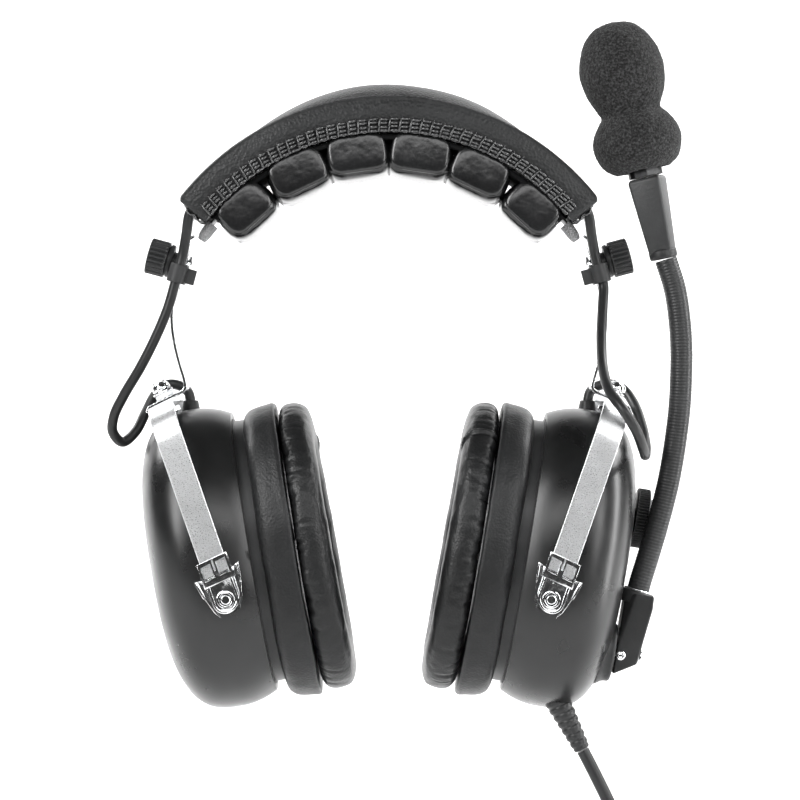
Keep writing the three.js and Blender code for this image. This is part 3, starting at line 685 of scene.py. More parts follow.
def coil_turns(spacing):
    """The lead's nine turns, in three layers of three rows. Each turn keeps its place and
    eases over to the next one in its last part, so no two turns share a place."""
    x, y, z = COIL_CENTRE
    rows = [0, 1, 2, 2, 1, 0, 0, 1, 2]
    layers = [0, 0, 0, 1, 1, 1, 2, 2, 2]
    steps = 32
    ease_from = 0.6
    points = []
    for k in range(len(rows) * steps + 1):
        lap = min(k // steps, len(rows) - 1)
        following = min(lap + 1, len(rows) - 1)
        share = k / steps - lap
        t = min(max((share - ease_from) / (1 - ease_from), 0), 1)
        ease = t * t * (3 - 2 * t)
        row = rows[lap] + (rows[following] - rows[lap]) * ease
        layer = layers[lap] + (layers[following] - layers[lap]) * ease
        radius = COIL_RADIUS + (1 - layer) * spacing
        angle = math.pi + 2 * math.pi * share
        points.append((x + (row - 1) * spacing, y + radius * math.cos(angle),
                       z + radius * math.sin(angle)))
    return points


def make_lead(looks):
    """The comm lead: from the strain relief, down, round its coil and into its plug."""
    spacing = 2 * LEAD_RADIUS + 0.0001
    x, y, z = COIL_CENTRE
    turns = [Vector(p) for p in coil_turns(spacing)]
    way_in = [Vector((0.0778, -0.0131, -0.1010)), Vector((0.0763, -0.0155, -0.1135))]
    end = turns[-1]
    plug_top = Vector((x, y - COIL_RADIUS, z - 0.0235))
    way_out = [Vector((end.x - 0.0010, end.y - 0.0011, end.z - 0.0075)),
               Vector((plug_top.x + 0.0010, plug_top.y + 0.0011, plug_top.z + 0.0075))]
    centre = [Vector(p) for p in LEAD_ROUTE[:-2]] + way_in + turns + way_out + [plug_top]
    path = smooth_route(centre, 2)
    shape = tube([p / MM for p in path], LEAD_RADIUS / MM, sides=14)
    lead = add_piece("comm_lead", shape, looks["rubber"], "cup_left",
                     ["comm_cord", "cord_coil"], sharp=60)
    return lead, path


def make_plug(looks):
    """Single moulded plug: grip with a ribbed boot, and a banded metal tip."""
    x, y, z = (c / MM for c in COIL_CENTRE)
    top = at(x, y - COIL_RADIUS / MM, z - COIL_RADIUS / MM + 1)
    boot = [(0, 0), (3, 0), (3.2, -2)]
    for i in range(4):
        h = -2.4 - 1.9 * i
        boot += [(3.3 + 0.2 * i, h), (3.7 + 0.2 * i, h - 0.5), (3.7 + 0.2 * i, h - 1.1),
                 (3.3 + 0.2 * i, h - 1.5)]
    grip = [(4.3, -10.2), (6.2, -12), (6.6, -13), (6.6, -31.4), (6.1, -32.4), (5.4, -34), (0, -34)]
    handle = moved(lathe(rounded(boot + grip, 0.3), 48), top)
    piece = add_piece("plug_grip", handle, looks["plastic"], "cup_left", ["plug"])
    tip = [
        (0, -33.6), (3.55, -33.6), (3.55, -41.5), (3.3, -41.7), (3.3, -42.3), (3.55, -42.5),
        (3.55, -48.4), (3.3, -48.6), (3.3, -49.2), (3.55, -49.4), (3.55, -54), (2.6, -55),
        (2.6, -56.5), (3.3, -58), (2.2, -60.5), (0, -61),
    ]
    metal = moved(lathe(rounded(tip, 0.15, 2), 40), top)
    contact = add_piece("plug_tip", metal, looks["chrome"], "cup_left")
    return [piece, contact]


def make_tie(looks):
    """Strap round the coil's rear."""
    x, y, z = (c / MM for c in COIL_CENTRE)
    centre_y = y + COIL_RADIUS / MM
    outline = rounded([(-8.9, -8.9), (8.9, -8.9), (8.9, 8.9), (-8.9, 8.9)], 4, 5, True)
    inner = rounded([(-7.7, -7.7), (7.7, -7.7), (7.7, 7.7), (-7.7, 7.7)], 3.4, 5, True)
    outline = [tuple(p) for p in outline]
    inner = [tuple(p) for p in inner]
    strap = moved(plate([outline, inner], 9.6, 0.4), at(x, centre_y, z))
    piece = add_piece("lead_tie", strap, looks["clip"], "cup_left", ["cord_tie"])
    return piece


def make_strain_relief(looks):
    """Tapered boot with stepped rings where the lead leaves the dome."""
    top = at(56.9, -12, -49.4) @ turn(-27, "Y")
    profile = [(0, 1.5), (4.9, 1.5), (4.9, -1.2)]
    rings = 7
    for i in range(rings):
        h = -2 - 2.7 * i
        wide = 4.6 - 1.45 * i / (rings - 1)
        profile += [(wide - 0.35, h), (wide, h - 0.5), (wide - 0.05, h - 1.7), (wide - 0.4, h - 2.2)]
    profile += [(2.9, -21.4), (2.6, -22), (0, -22)]
    boot = moved(lathe(rounded(profile, 0.25, 2), 48), top)
    return add_piece("lead_boot", boot, looks["rubber"], "cup_left",
                     ["cord_strain_relief"])


# ---------------------------------------------------------------- head pad
def pad_narrowing(angle):
    share = abs(angle) / PAD_HALF_ANGLE
    return 1 - (1 - PAD_END_HALF_WIDTH / PAD_HALF_WIDTH) * share * share


def pad_point(angle, y, radius):
    a = math.radians(angle)
    return Vector((radius * math.sin(a), y, PAD_CENTRE_Z + radius * math.cos(a)))


def pad_face_y(angle, radius):
    """How far forward the cover's front face stands: slightly full, pulled in at the lacing."""
    height = (radius - PAD_LOWER) / (PAD_RIDGE - PAD_LOWER)
    full = 0.7 * math.sin(math.pi * min(max(height, 0), 1))
    return PAD_HALF_WIDTH * pad_narrowing(angle) + full


def pad_cover_section(angle):
    """Points [y, radius] round the cover's section at one angle, outside then inside."""
    along = math.radians(angle) * PAD_LOWER
    flatness = max(1 - (angle / PAD_CROWN_HALF_ANGLE) ** 2, 0)
    crown = PAD_CROWN * flatness
    scallop = abs(math.sin(math.pi * along / LACING_PITCH))
    front = []
    for k in range(17):
        radius = PAD_LOWER + (PAD_RIDGE - PAD_LOWER) * k / 16
        pull = max(0, 1 - (radius - PAD_LOWER) / 6.5)
        wave = 0.35 * noise.noise(Vector((along * 0.06, radius * 0.12, 3)))
        front.append((pad_face_y(angle, radius) - 0.45 * pull * (1 - scallop) + wave, radius))
    half = PAD_HALF_WIDTH * pad_narrowing(angle)
    bead = [(half + 0.2, PAD_RIDGE + 0.5), (half - 0.3, PAD_RIDGE + 0.95),
            (half - 1.0, PAD_RIDGE + 0.9), (half - 1.6, PAD_RIDGE + 0.45)]
    outline = [(-y, r) for y, r in front] + [(-y, r) for y, r in bead]
    inner = half - 1.8
    for k in range(21):
        y = inner * (k / 10 - 1)
        share = y / inner
        bulge = crown * (1 - share ** 2) ** 0.85 + 0.25
        dent = 0.25 * noise.noise(Vector((along * 0.05, y * 0.08, 9)))
        outline.append((y, PAD_RIDGE + 0.2 + bulge + dent * flatness))
    outline += bead[::-1] + front[::-1]
    low = half - PAD_WALL
    roof = PAD_RIDGE - PAD_WALL
    inside = [(low, PAD_LOWER + 0.3), (low, roof), (low / 3, roof + 0.2), (-low / 3, roof + 0.2),
              (-low, roof), (-low, PAD_LOWER + 0.3)]
    return outline + inside


def make_pad_cover(looks):
    rings = []
    stations = 180
    for i in range(stations + 1):
        angle = PAD_HALF_ANGLE * (2 * i / stations - 1)
        tuck = max(0, abs(angle) - (PAD_HALF_ANGLE - 1.2)) / 1.2
        rings.append([
            pad_point(angle, y * (1 - 0.03 * tuck ** 2), r - 0.9 * tuck ** 2 * (r > 86))
            for y, r in pad_cover_section(angle)
        ])
    cover = add_piece("pad_cover", skin(rings), looks["leather"], "headband",
                      ["head_pad_cover"], sharp=55)
    for sign in (1, -1):
        flap_rings = []
        for k in range(7):
            angle = sign * (PAD_HALF_ANGLE - 1.6 + 0.32 * k)
            shrink = 1 if k < 4 else 1 - 0.06 * (k - 3)
            half = (PAD_END_HALF_WIDTH - 1.9) * shrink
            mid, tall = 85.4, 5.0 * shrink
            outline = rounded([(-half, mid - tall), (half, mid - tall), (half, mid + tall),
                               (-half, mid + tall)], 2.2, 4, True)
            flap_rings.append([pad_point(angle, y, r) for y, r in outline])
        name = "left" if sign > 0 else "right"
        add_piece(f"pad_end_{name}", skin(flap_rings), looks["leather"], "headband",
                  sharp=60)


def stitch(start, end, lift, radius):
    """One stitch of thread, its ends sunk and its middle standing out along lift."""
    start, end, lift = Vector(start), Vector(end), Vector(lift)
    route = []
    for k in range(6):
        t = k / 5
        rise = 4 * t * (1 - t)
        route.append(start.lerp(end, t) + lift * rise)
    return tube(route, lambda along: radius, sides=7)


def make_lacing(looks):
    """Rows of waxed thread along the cover's lower edges, tied across at every pitch, and
    the square loops that close each end."""
    rng = random.Random(11)
    rows = [79.9, 81.2, 82.5, 83.8]
    arc_length = math.radians(2 * PAD_HALF_ANGLE - 4) * 83
    cells = round(arc_length / LACING_PITCH)
    for face, where in ((-1, "front"), (1, "rear")):
        shapes = []
        for i in range(cells):
            start = -PAD_HALF_ANGLE + 2 + (2 * PAD_HALF_ANGLE - 4) * i / cells
            step = (2 * PAD_HALF_ANGLE - 4) / cells
            for row in rows:
                radius = row + rng.uniform(-0.12, 0.12)
                a, b = start + step * 0.14, start + step * 0.9
                slant = rng.uniform(-0.1, 0.25)
                y = face * (pad_face_y(start, radius) + 0.02)
                shapes.append(stitch(pad_point(a, y, radius), pad_point(b, y, radius + slant),
                                     (0, face * 0.7, 0), 0.52 + rng.uniform(-0.05, 0.05)))
            angle = start + rng.uniform(-0.12, 0.12)
            y = face * (pad_face_y(start, 83) - 0.1)
            shapes.append(stitch(pad_point(angle, y, 79.6), pad_point(angle + 0.5, y, 84.6),
                                 (0, face * 0.75, 0), 0.4))
            low = pad_point(start, y, 80.3)
            under = pad_point(start + 0.9 * step, y - face * 2.4, 79.9)
            shapes.append(stitch(low, under, pad_point(start, 0, -0.5) - pad_point(start, 0, 0),
                                 0.26))
        add_piece(f"pad_lacing_{where}", merge(*shapes), looks["thread"], "headband",
                  sharp=80)
    for sign, name in ((1, "left"), (-1, "right")):
        shapes = []
        for k in range(7):
            y = -PAD_END_HALF_WIDTH + 1.6 + 2.4 * k
            for low, high in ((80.6, 84.2), (84.2, 88)):
                y_low, y_high = y, y + 0.5
                start = pad_point(sign * (PAD_HALF_ANGLE + 0.25), y_low, low)
                end = pad_point(sign * (PAD_HALF_ANGLE + 0.25), y_high, high)
                out = pad_point(sign * (PAD_HALF_ANGLE + 0.7), 0, 86) - pad_point(
                    sign * PAD_HALF_ANGLE, 0, 86)
                shapes.append(stitch(start, end, out, 0.32))
            cross = pad_point(sign * (PAD_HALF_ANGLE + 0.3), y, 84.2)
            shapes.append(stitch(cross, cross + Vector((0, 2.2, 0)), out, 0.3))
        add_piece(f"pad_end_loops_{name}", merge(*shapes), looks["thread"], "headband",
                  sharp=80)


def lobe_outline(half_left, half_right, top, low, round_by):
    corners = [(half_right, top), (half_right, low), (-half_left, low), (-half_left, top)]
    return rounded(corners[:1] + corners[1:3] + corners[3:], round_by, 6, True)


def make_lobes(looks):
    """The cushion's six stuffed lobes, each with a sewn face panel front and rear, and the
    bed that holds them."""
    lining = []
    for i in range(61):
        angle = -50 + 100 * i / 60
        half = 22.4 * pad_narrowing(angle)
        ring = rounded([(-half, 77.2), (half, 77.2), (half, 79), (-half, 79)], 0.8, 3, True)
        lining.append([pad_point(angle, y, r) for y, r in ring])
    add_piece("cushion_bed", skin(lining), looks["lining"], "headband",
              ["head_cushion"], sharp=50)
    for number, angle in enumerate(LOBE_ANGLES, 1):
        frame_at = at(0, 0, PAD_CENTRE_Z) @ turn(angle, "Y")
        depth = 22.2 * pad_narrowing(angle)
        end_lobe = abs(angle) > 40
        inner_half = 8.9 if end_lobe else 9.9
        outer_half = 9.0 if end_lobe else (9.2 if abs(angle) > 20 else 9.9)
        left, right = (inner_half, outer_half) if angle > 0 else (outer_half, inner_half)
        rings = []
        for y, grow in ((-1, -1.6), (-0.9, -0.2), (-0.6, 0.1), (0, 0.2), (0.6, 0.1), (0.9, -0.2),
                        (1, -1.6)):
            outline = lobe_outline(left + 1.5 + grow * 0.6, right + 1.5 + grow * 0.6, 79.2,
                                   64.9 - grow, 5.4)
            rings.append([(x, y * (depth - 1.6), r) for x, r in outline])
        body = moved(skin(rings), frame_at)
        lobe = add_piece(f"cushion_lobe_{number}", body, looks["leatherette"], None)
        puffed(lobe, 2.6, 1.1)
        subdivided(lobe, 2)
        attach(lobe, "headband")
        panels = []
        for face in (-1, 1):
            panel_rings = []
            for y, grow, low_grow in ((depth - 1.1, -1.2, -1.0), (depth - 0.7, -0.3, -0.3),
                                      (depth, 0, 0), (depth + 0.6, -0.4, -0.4),
                                      (depth + 0.95, -1.6, -1.6), (depth + 1.2, -3.6, -3.6)):
                outline = lobe_outline(left + 0.3 + grow, right + 0.3 + grow, 79.8 + grow * 0.3,
                                       66.6 - low_grow, 4.9)
                panel_rings.append([(x, face * y, r) for x, r in outline])
            panels.append(moved(skin(panel_rings), frame_at))
        panel = add_piece(f"lobe_panels_{number}", merge(*panels), looks["leatherette"],
                          "headband", sharp=60, grow=1)


def make_pad_hardware(looks):
    """The plate under the cushion, with a felt sleeve at each end."""
    for sign, name in ((1, "left"), (-1, "right")):
        rings = []
        for k in range(9):
            angle = sign * (51.4 + 5.0 * k / 8)
            ease = math.sqrt(max(0, 1 - (k / 8) ** 4)) if k < 8 else 0.3
            half, tall = 7.0 * (0.55 + 0.45 * ease), 1.75 * (0.4 + 0.6 * ease)
            outline = rounded([(-half, 78.9 - tall), (half, 78.9 - tall), (half, 78.9 + tall),
                               (-half, 78.9 + tall)], 1.6, 4, True)
            rings.append([pad_point(angle, y, r) for y, r in outline])
        add_piece(f"plate_sleeve_{name}", skin(rings), looks["felt"], "headband",
                  sharp=60)
    rings = []
    for k in range(41):
        angle = -54 + 108 * k / 40
        outline = rounded([(-6.4, 78.95), (6.4, 78.95), (6.4, 79.65), (-6.4, 79.65)], 0.3, 2, True)
        rings.append([pad_point(angle, y, r) for y, r in outline])
    add_piece("cushion_backing", skin(rings), looks["black_metal"], "headband",
              ["cushion_plate"])


# ---------------------------------------------------------------- band and adjusters
def band_spring(looks):
    """The sprung band: an arc, then a straight run at each end."""
    run = run_frame()
    right = []
    for k in range(BAND_ARC_END + 1):
        right.append(pad_point(k, 0, BAND_RADIUS))
    straight = [run @ Vector((s, 0, 1.5)) for s in (-23, -18, -12, -5, 2, 8.4)]
    outline = rounded([(p.x, p.z) for p in right + straight], 2, 3)
    outline = [(-x, z) for x, z in outline[::-1]][:-1] + [tuple(p) for p in outline]
    centres = [Vector((x, 0, z)) for x, z in outline]
    normals = []
    for i in range(len(centres)):
        ahead = centres[min(i + 1, len(centres) - 1)] - centres[max(i - 1, 0)]
        normals.append(Vector((-ahead.z, 0, ahead.x)).normalized())
    columns = [-7, -3.5, 0, 3.5, 7]
    shape = sheet_metal(centres, normals, Vector((0, 1, 0)), columns, 1.2)
    add_piece("band_spring", shape, looks["steel"], "headband", ["headband_spring"],
              ease=0.25)


def make_knob(side, looks):
    """Clamp knob: a ridged grip, a plain collar and a recessed face."""
    place = side_frame(side) @ run_frame()
    ridge_count = 22

    def ridges(angle, height):
        if not 6.5 < height < 12.6:
            return 0
        fade = min(1, (height - 6.5) / 0.5, (12.6 - height) / 0.5)
        wave = (math.cos(angle * ridge_count) + 1) / 2
        return 0.75 * wave ** 1.6 * fade

    profile = [(0, 4.2), (3.6, 4.2), (5.5, 4.3), (5.8, 4.7), (5.8, 5.7), (5.35, 5.85),
               (5.35, 6.1), (6.3, 6.3)]
    profile += [(6.3, 6.5 + 6.1 * k / 16) for k in range(17)]
    profile += [(6.3, 12.7), (5.9, 12.95), (4.9, 12.95), (4.5, 12.5), (0, 12.4)]
    knob = lathe(profile, 176, ridges)
    neck = lathe([(2.4, 2.3), (3.5, 2.3), (3.5, 4.4), (2.4, 4.4)], 32)
    shape = moved(merge(knob, neck), place)
    return add_piece(f"clamp_knob_{side}", shape, looks["plastic"], f"knob_{side}",
                     [f"adjuster_knob_{side}"], sharp=50)


def make_clamp_screw(side, looks):
    place = side_frame(side) @ run_frame()
    profile = [(0, -2.9), (2.2, -2.9), (3.6, -2.1), (3.6, -1.3), (2, -1.3), (2, 3.8), (0, 3.8)]
    head = lathe(rounded(profile, 0.3, 2), 40)
    return add_piece(f"clamp_screw_{side}", moved(head, place), looks["chrome"], "headband",
                     [f"adjuster_screw_{side}"])


def slider_route():
    """The slider's edge line in X-Z: bent tip, straight, curved shank, bracket and hook."""
    run = run_frame()
    lean = math.radians(RUN_LEAN)
    down = Vector((math.sin(lean), 0, -math.cos(lean)))
    foot = Vector((71.4, 0, 59.4))
    points = [run @ Vector((-10.5, 0, -1.3)), run @ Vector((-9, 0, 0))]
    points += [run @ Vector((s, 0, 0)) for s in (-6.5, -3, 0, 4, 8)]
    shank_top = run @ Vector((12, 0, 0))
    points += bezier(shank_top, shank_top + down * 9, foot + Vector((2.8, 0, 9)), foot, 22)
    turn_by = math.radians(BRACKET_LEAN)
    along = Vector((math.cos(turn_by), 0, -math.sin(turn_by)))
    bolt = Vector((BRACKET_X, 0, BRACKET_Z))
    plate_in = bolt - along * 4.9
    points += bezier(foot, foot + Vector((-1.1, 0, -4)), plate_in - along * 2.6, plate_in, 10)[1:]
    plate_out = bolt + along * 6.4
    points += [bolt, plate_out, plate_out + Vector((0.6, 0, -1.8))]
    return points


def bezier(a, b, c, d, steps):
    result = []
    for k in range(steps + 1):
        t = k / steps
        result.append(a * (1 - t) ** 3 + b * (3 * t * (1 - t) ** 2) + c * (3 * t * t * (1 - t))
                      + d * t ** 3)
    return result


def make_slider(side, looks):
    """Slotted strip: two rails round a slot that the clamp screw slides in."""
    centres = slider_route()
    normals = []
    for i in range(len(centres)):
        ahead = centres[min(i + 1, len(centres) - 1)] - centres[max(i - 1, 0)]
        normals.append(Vector((-ahead.z, 0, ahead.x)).normalized())
    columns = [-6, -2.4, 2.4, 6]

    def is_slot(i, j):
        middle = (centres[i] + centres[i + 1]) / 2
        return j == 1 and i >= 2 and middle.z > 62.5

    strip = sheet_metal(centres, normals, Vector((0, 1, 0)), columns, 1.2, is_slot)
    shape = moved(strip, side_frame(side))
    return add_piece(f"slider_rails_{side}", shape, looks["chrome"], f"slider_{side}",
                     [f"slider_strip_{side}"], ease=0.28)


def make_swivel_bolt(side, looks):
    """Slotted dome head over a nylon spacer, and the nut under the stirrup."""
    place = side_frame(side) @ hanger_frame()
    head = lathe(rounded([(0, 3.4), (3.0, 3.4), (3.3, 3.9), (3.25, 4.9), (2.7, 6.1), (1.6, 6.8),
                          (0, 7)], 0.5, 3), 40)
    washer = lathe(rounded([(0, 2.6), (3.7, 2.6), (3.7, 3.3), (0, 3.3)], 0.2, 2), 40)
    nut_outline = arc(0, 0, 3.2, 0, 300, 5)
    nut = moved(prism(nut_outline, -5.2, -3.2), turn(14, "Z"))
    shank = lathe([(0, -5.4), (1.8, -5.4), (1.8, 3), (0, 3)], 24)
    add_piece(f"swivel_nut_{side}", moved(merge(nut, shank), place), looks["chrome"],
              f"slider_{side}", ease=0.3)
    bolt = add_piece(f"swivel_head_{side}", moved(merge(head, washer), place), looks["chrome"],
                     f"slider_{side}", [f"swivel_bolt_{side}"])
    slot = add_piece(f"swivel_slot_{side}", moved(block((4.6, 0.8, 0.5), (0, 0, 6.65)), place),
                     looks["black_metal"], f"slider_{side}", ease=0.15)
    spacer = lathe(rounded([(1.9, 0.9), (3.2, 0.9), (3.3, 1.6), (3.2, 2.5), (1.9, 2.5)], 0.3, 2),
                   36)
    add_piece(f"swivel_spacer_{side}", moved(spacer, place), looks["nylon"], f"slider_{side}")
    return bolt, slot


def make_clip(side, looks):
    """Moulded clip: a band round the wire with its ends on the adjuster."""
    mirror = Matrix.Identity(4) if side == "left" else Matrix.Scale(-1, 4, (1, 0, 0))
    lean = math.radians(RUN_LEAN)
    down = Vector((math.sin(lean), 0, -math.cos(lean)))
    out = Vector((math.cos(lean), 0, math.sin(lean)))
    origin = Vector((RUN_X, 0, RUN_Z)) + down * 0.5
    wire_w, wire_y, inner, outer, leg_end = 0.75, -9.3, 2.15, 3.2, -4.2
    outline = [(wire_w + outer, leg_end), (wire_w + inner, leg_end)]
    outline += arc(wire_w, wire_y, inner, 0, -180, 16)
    outline += [(wire_w - inner, leg_end), (wire_w - outer, leg_end)]
    outline += arc(wire_w, wire_y, outer, -180, 0, 18)
    bars = skin([[origin + out * w + Vector((0, y, 0)) + down * h for w, y in outline]
                 for h in (0, 0.5, 6, 6.5)])
    lug = skin([[origin + out * w + Vector((0, y, 0)) + down * h
                 for w, y in ((-5.6, -8.9), (-2.2, -9.6), (-2.2, -6.2), (-5.4, -5.8))]
                for h in (0.6, 5.9)])
    return add_piece(f"wire_clip_{side}", moved(merge(bars, lug), mirror), looks["clip"],
                     "headband", [f"cord_clip_{side}"], ease=0.3)


# ---------------------------------------------------------------- stirrups
def pin_in_hanger():
    local = hanger_frame().inverted() @ Vector((PIN_X, 0, PIN_Z))
    return local.x, local.z


def arm_shift(z):
    return STIRRUP_ARM_LEAN * z / pin_in_hanger()[1]


def make_stirrup(side, looks):
    """One brushed strip bent over the dome, with an arm down to each pivot."""
    arm_end = pin_in_hanger()[1] + 9
    bend_y = STIRRUP_HALF_SPAN - STIRRUP_BEND
    bend_z = STIRRUP_TOP - STIRRUP_BEND
    half = [(STIRRUP_HALF_SPAN, arm_end + (bend_z - arm_end) * k / 14) for k in range(14)]
    half += arc(bend_y, bend_z, STIRRUP_BEND, 0, 90, 18)
    half += [(bend_y * (1 - k / 8), STIRRUP_TOP) for k in range(1, 9)]
    outline = half + [(-y, z) for y, z in half[:-1][::-1]]
    centres = [Vector((arm_shift(z), y, z)) for y, z in outline]
    normals = []
    for i in range(len(centres)):
        ahead = centres[min(i + 1, len(centres) - 1)] - centres[max(i - 1, 0)]
        normals.append(Vector((0, -ahead.z, ahead.y)).normalized())
    half_width = STIRRUP_WIDTH / 2
    columns = [-half_width, -half_width / 2, 0, half_width / 2, half_width]
    strip = sheet_metal(centres, normals, Vector((1, 0, 0)), columns, STIRRUP_THICKNESS)
    shape = moved(strip, side_frame(side) @ hanger_frame())
    return add_piece(f"stirrup_strip_{side}", shape, looks["steel"], f"stirrup_{side}",
                     [f"stirrup_{side}"], ease=0.25)


def upright_plate(outlines, thickness, y, edge=0.12):
    """A plate stood up in the X-Z plane, its middle at y."""
    return moved(plate(outlines, thickness, edge), at(0, y, 0) @ turn(90, "X"))


def make_pivot(side, face, looks):
    """Folded clip on the stirrup's end with its tongue and spring wings, and the pin with a
    retaining ring that it turns on."""
    where = "front" if face * (1 if side == "left" else -1) < 0 else "rear"
    window = [[(x - 1.75, 8.2), (x + 1.75, 8.2), (x + 1.75, 13), (x - 1.75, 13)]
              for x in (-2.75, 2.75)]
    slit = [(-0.3, 10.4), (0.3, 10.4), (0.3, 14), (-0.3, 14)]
    collar = [(-5.5, 6), (5.5, 6), (5.5, 14.5), (-5.5, 14.5)]
    tongue = [(4.6, 7.6), (-4.6, 7.6), *arc(0, 0, 4.6, 180, 360, 24)]
    rim = [(3.75, 6.9), (-3.75, 6.9), *arc(0, 0, 3.75, 180, 360, 24)]
    hole = arc(0, 0, 2.1, 0, 345, 23)
    parts = [
        upright_plate([collar, *window, slit], 0.7, 1.45),
        upright_plate([collar], 0.6, -1.5),
        block((0.7, 3.2, 8.4), (-5.2, 0, 10.25)),
        block((0.7, 3.2, 8.4), (5.2, 0, 10.25)),
        upright_plate([tongue, hole], 0.8, 0.75),
        upright_plate([tongue, rim], 0.5, 1.3, 0.15),
    ]
    wings = []
    for hand in (-1, 1):
        blade = [(hand * 4.9, 8.8), (hand * 8.1, 9.6), (hand * 6.9, 3.4), (hand * 5.2, -2.6),
                 (hand * 3.6, -5.0), (hand * 4.6, 0)]
        wings.append(upright_plate([blade if hand > 0 else blade[::-1]], 0.6, -0.9))
        fold = [(hand * 7.5, 9.4), (hand * 8.2, 9.4), (hand * 7.1, 3.2), (hand * 6.5, 3.4)]
        wings.append(upright_plate([fold if hand > 0 else fold[::-1]], 2.0, 0.1))
    shape = merge(*parts, *wings)
    points = [Vector((p.x + face * arm_shift(p.z), p.y, p.z)) for p in shape[0]]
    pin_x, pin_z = pin_in_hanger()
    local = at(pin_x, face * STIRRUP_HALF_SPAN, pin_z) @ turn(0 if face > 0 else 180, "Z")
    place = side_frame(side) @ hanger_frame() @ local
    add_piece(f"pivot_fold_{side}_{where}", moved((points, shape[1]), place), looks["chrome"],
              f"stirrup_{side}", [f"pivot_clip_{side}_{where}"], sharp=30)

    pin_at = cup_frame().inverted() @ Vector((PIN_X, 0, PIN_Z))
    pin_place = side_frame(side) @ cup_frame() @ at(pin_at.x, face * STIRRUP_HALF_SPAN, pin_at.z)
    pin_place = pin_place @ turn(-90 * face, "X")
    shank = lathe(rounded([(0, -6.6), (1.7, -6.6), (1.7, 1.9), (1.4, 2.2), (1.15, 2.2)], 0.1, 2), 32)
    recess = skin([[(x, y, h) for x, y in arc(0, 0, 1.15, 0, 300, 5)] for h in (2.15, 1.2)])
    ring_out = arc(0, 0, 3.0, 110, 430, 30)
    ring_in = arc(0, 0, 2.1, 430, 110, 30)
    ring = moved(plate([ring_out + ring_in], 0.5, 0.15), at(0, 0, 1.75))
    add_piece(f"pin_and_ring_{side}_{where}", moved(merge(shank, recess, ring), pin_place),
              looks["chrome"], f"cup_{side}", [f"pivot_pin_{side}_{where}"], sharp=30)


# ---------------------------------------------------------------- ear cups
def dome_profile(inset):
    """[half height, n] from the rim to the top, evenly spaced."""
    points = []
    for k in range(14):
        n = DOME_GIRTH * k / 14
        share = (DOME_GIRTH - n) / DOME_GIRTH
        fall = (DOME_HALF_HEIGHT - DOME_RIM) * share * share
        points.append((DOME_HALF_HEIGHT - fall - inset, n))
    rise = DOME_DEPTH - inset - DOME_GIRTH
    for k in range(121):
        angle = math.pi / 2 * k / 120
        half_height = (DOME_HALF_HEIGHT - inset) * math.cos(angle) ** (2 / 3)
        points.append((max(half_height, 0), DOME_GIRTH + rise * math.sin(angle) ** (2 / 3)))
    spaced = [tuple(p) for p in evenly(points, 60)]
    return spaced[:-1] + [(0, DOME_DEPTH - inset)]


def make_dome(side, looks):
    place = side_frame(side) @ cup_frame()
    outside = dome_profile(0)
    inside = dome_profile(DOME_WALL)[::-1]
    lip = [(DOME_RIM - DOME_WALL + 0.3, -0.05), (DOME_RIM - 0.3, -0.05)]
    shell = oval(outside + inside + lip, 144, True)
    pin_at = cup_frame().inverted() @ Vector((PIN_X, 0, PIN_Z))
    bosses = []
    for face in (-1, 1):
        profile = [(0, 33), (6.4, 33), (5.6, 36.5), (5.1, 38.5), (4.9, 42.6), (4.5, 43.2), (0, 43.2)]
        boss = moved(lathe(rounded(profile, 0.8, 3), 40), at(pin_at.x, 0, pin_at.z)
                     @ turn(-90 * face, "X"))
        bosses.append(boss)
    shape = moved(merge(shell, *bosses), place)
    return add_piece(f"dome_{side}", shape, looks["dome"], f"cup_{side}",
                     [f"dome_shell_{side}"], sharp=50)


def make_seal_base(side, looks):
    """The seal's firm leather base: full next to the dome, with a ridge by the cushion."""
    place = side_frame(side) @ cup_frame()
    outline = [
        (46.6, -3.9), (48.6, -4.5), (50.3, -6.4), (51.1, -9.2), (51.4, -12.2), (51.7, -14.2),
        (51.3, -15.3), (50.2, -15.6), (48.2, -15.2), (44, -15.4), (34.4, -15.8), (33, -14.6),
        (33, -5.2), (34.4, -3.7), (44.2, -3.7),
    ]
    profile = [tuple(p) for p in rounded(outline, 1.4, 4, True)]
    shape = moved(oval(profile, 220, True), place @ at(0, 0, -SEAL_DROP))
    ring = add_piece(f"seal_base_{side}", shape, looks["seal"],
                     None, [f"ear_seal_base_{side}"], sharp=60)
    seed = 4 if side == "left" else 7

    def dents(points, normals):
        return np.array([0.35 * noise.noise(Vector(p) * 0.055 + Vector((0, 0, seed)))
                         + 0.12 * noise.noise(Vector(p) * 0.2) for p in points])

    pushed(ring, dents)
    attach(ring, f"cup_{side}")
    return ring


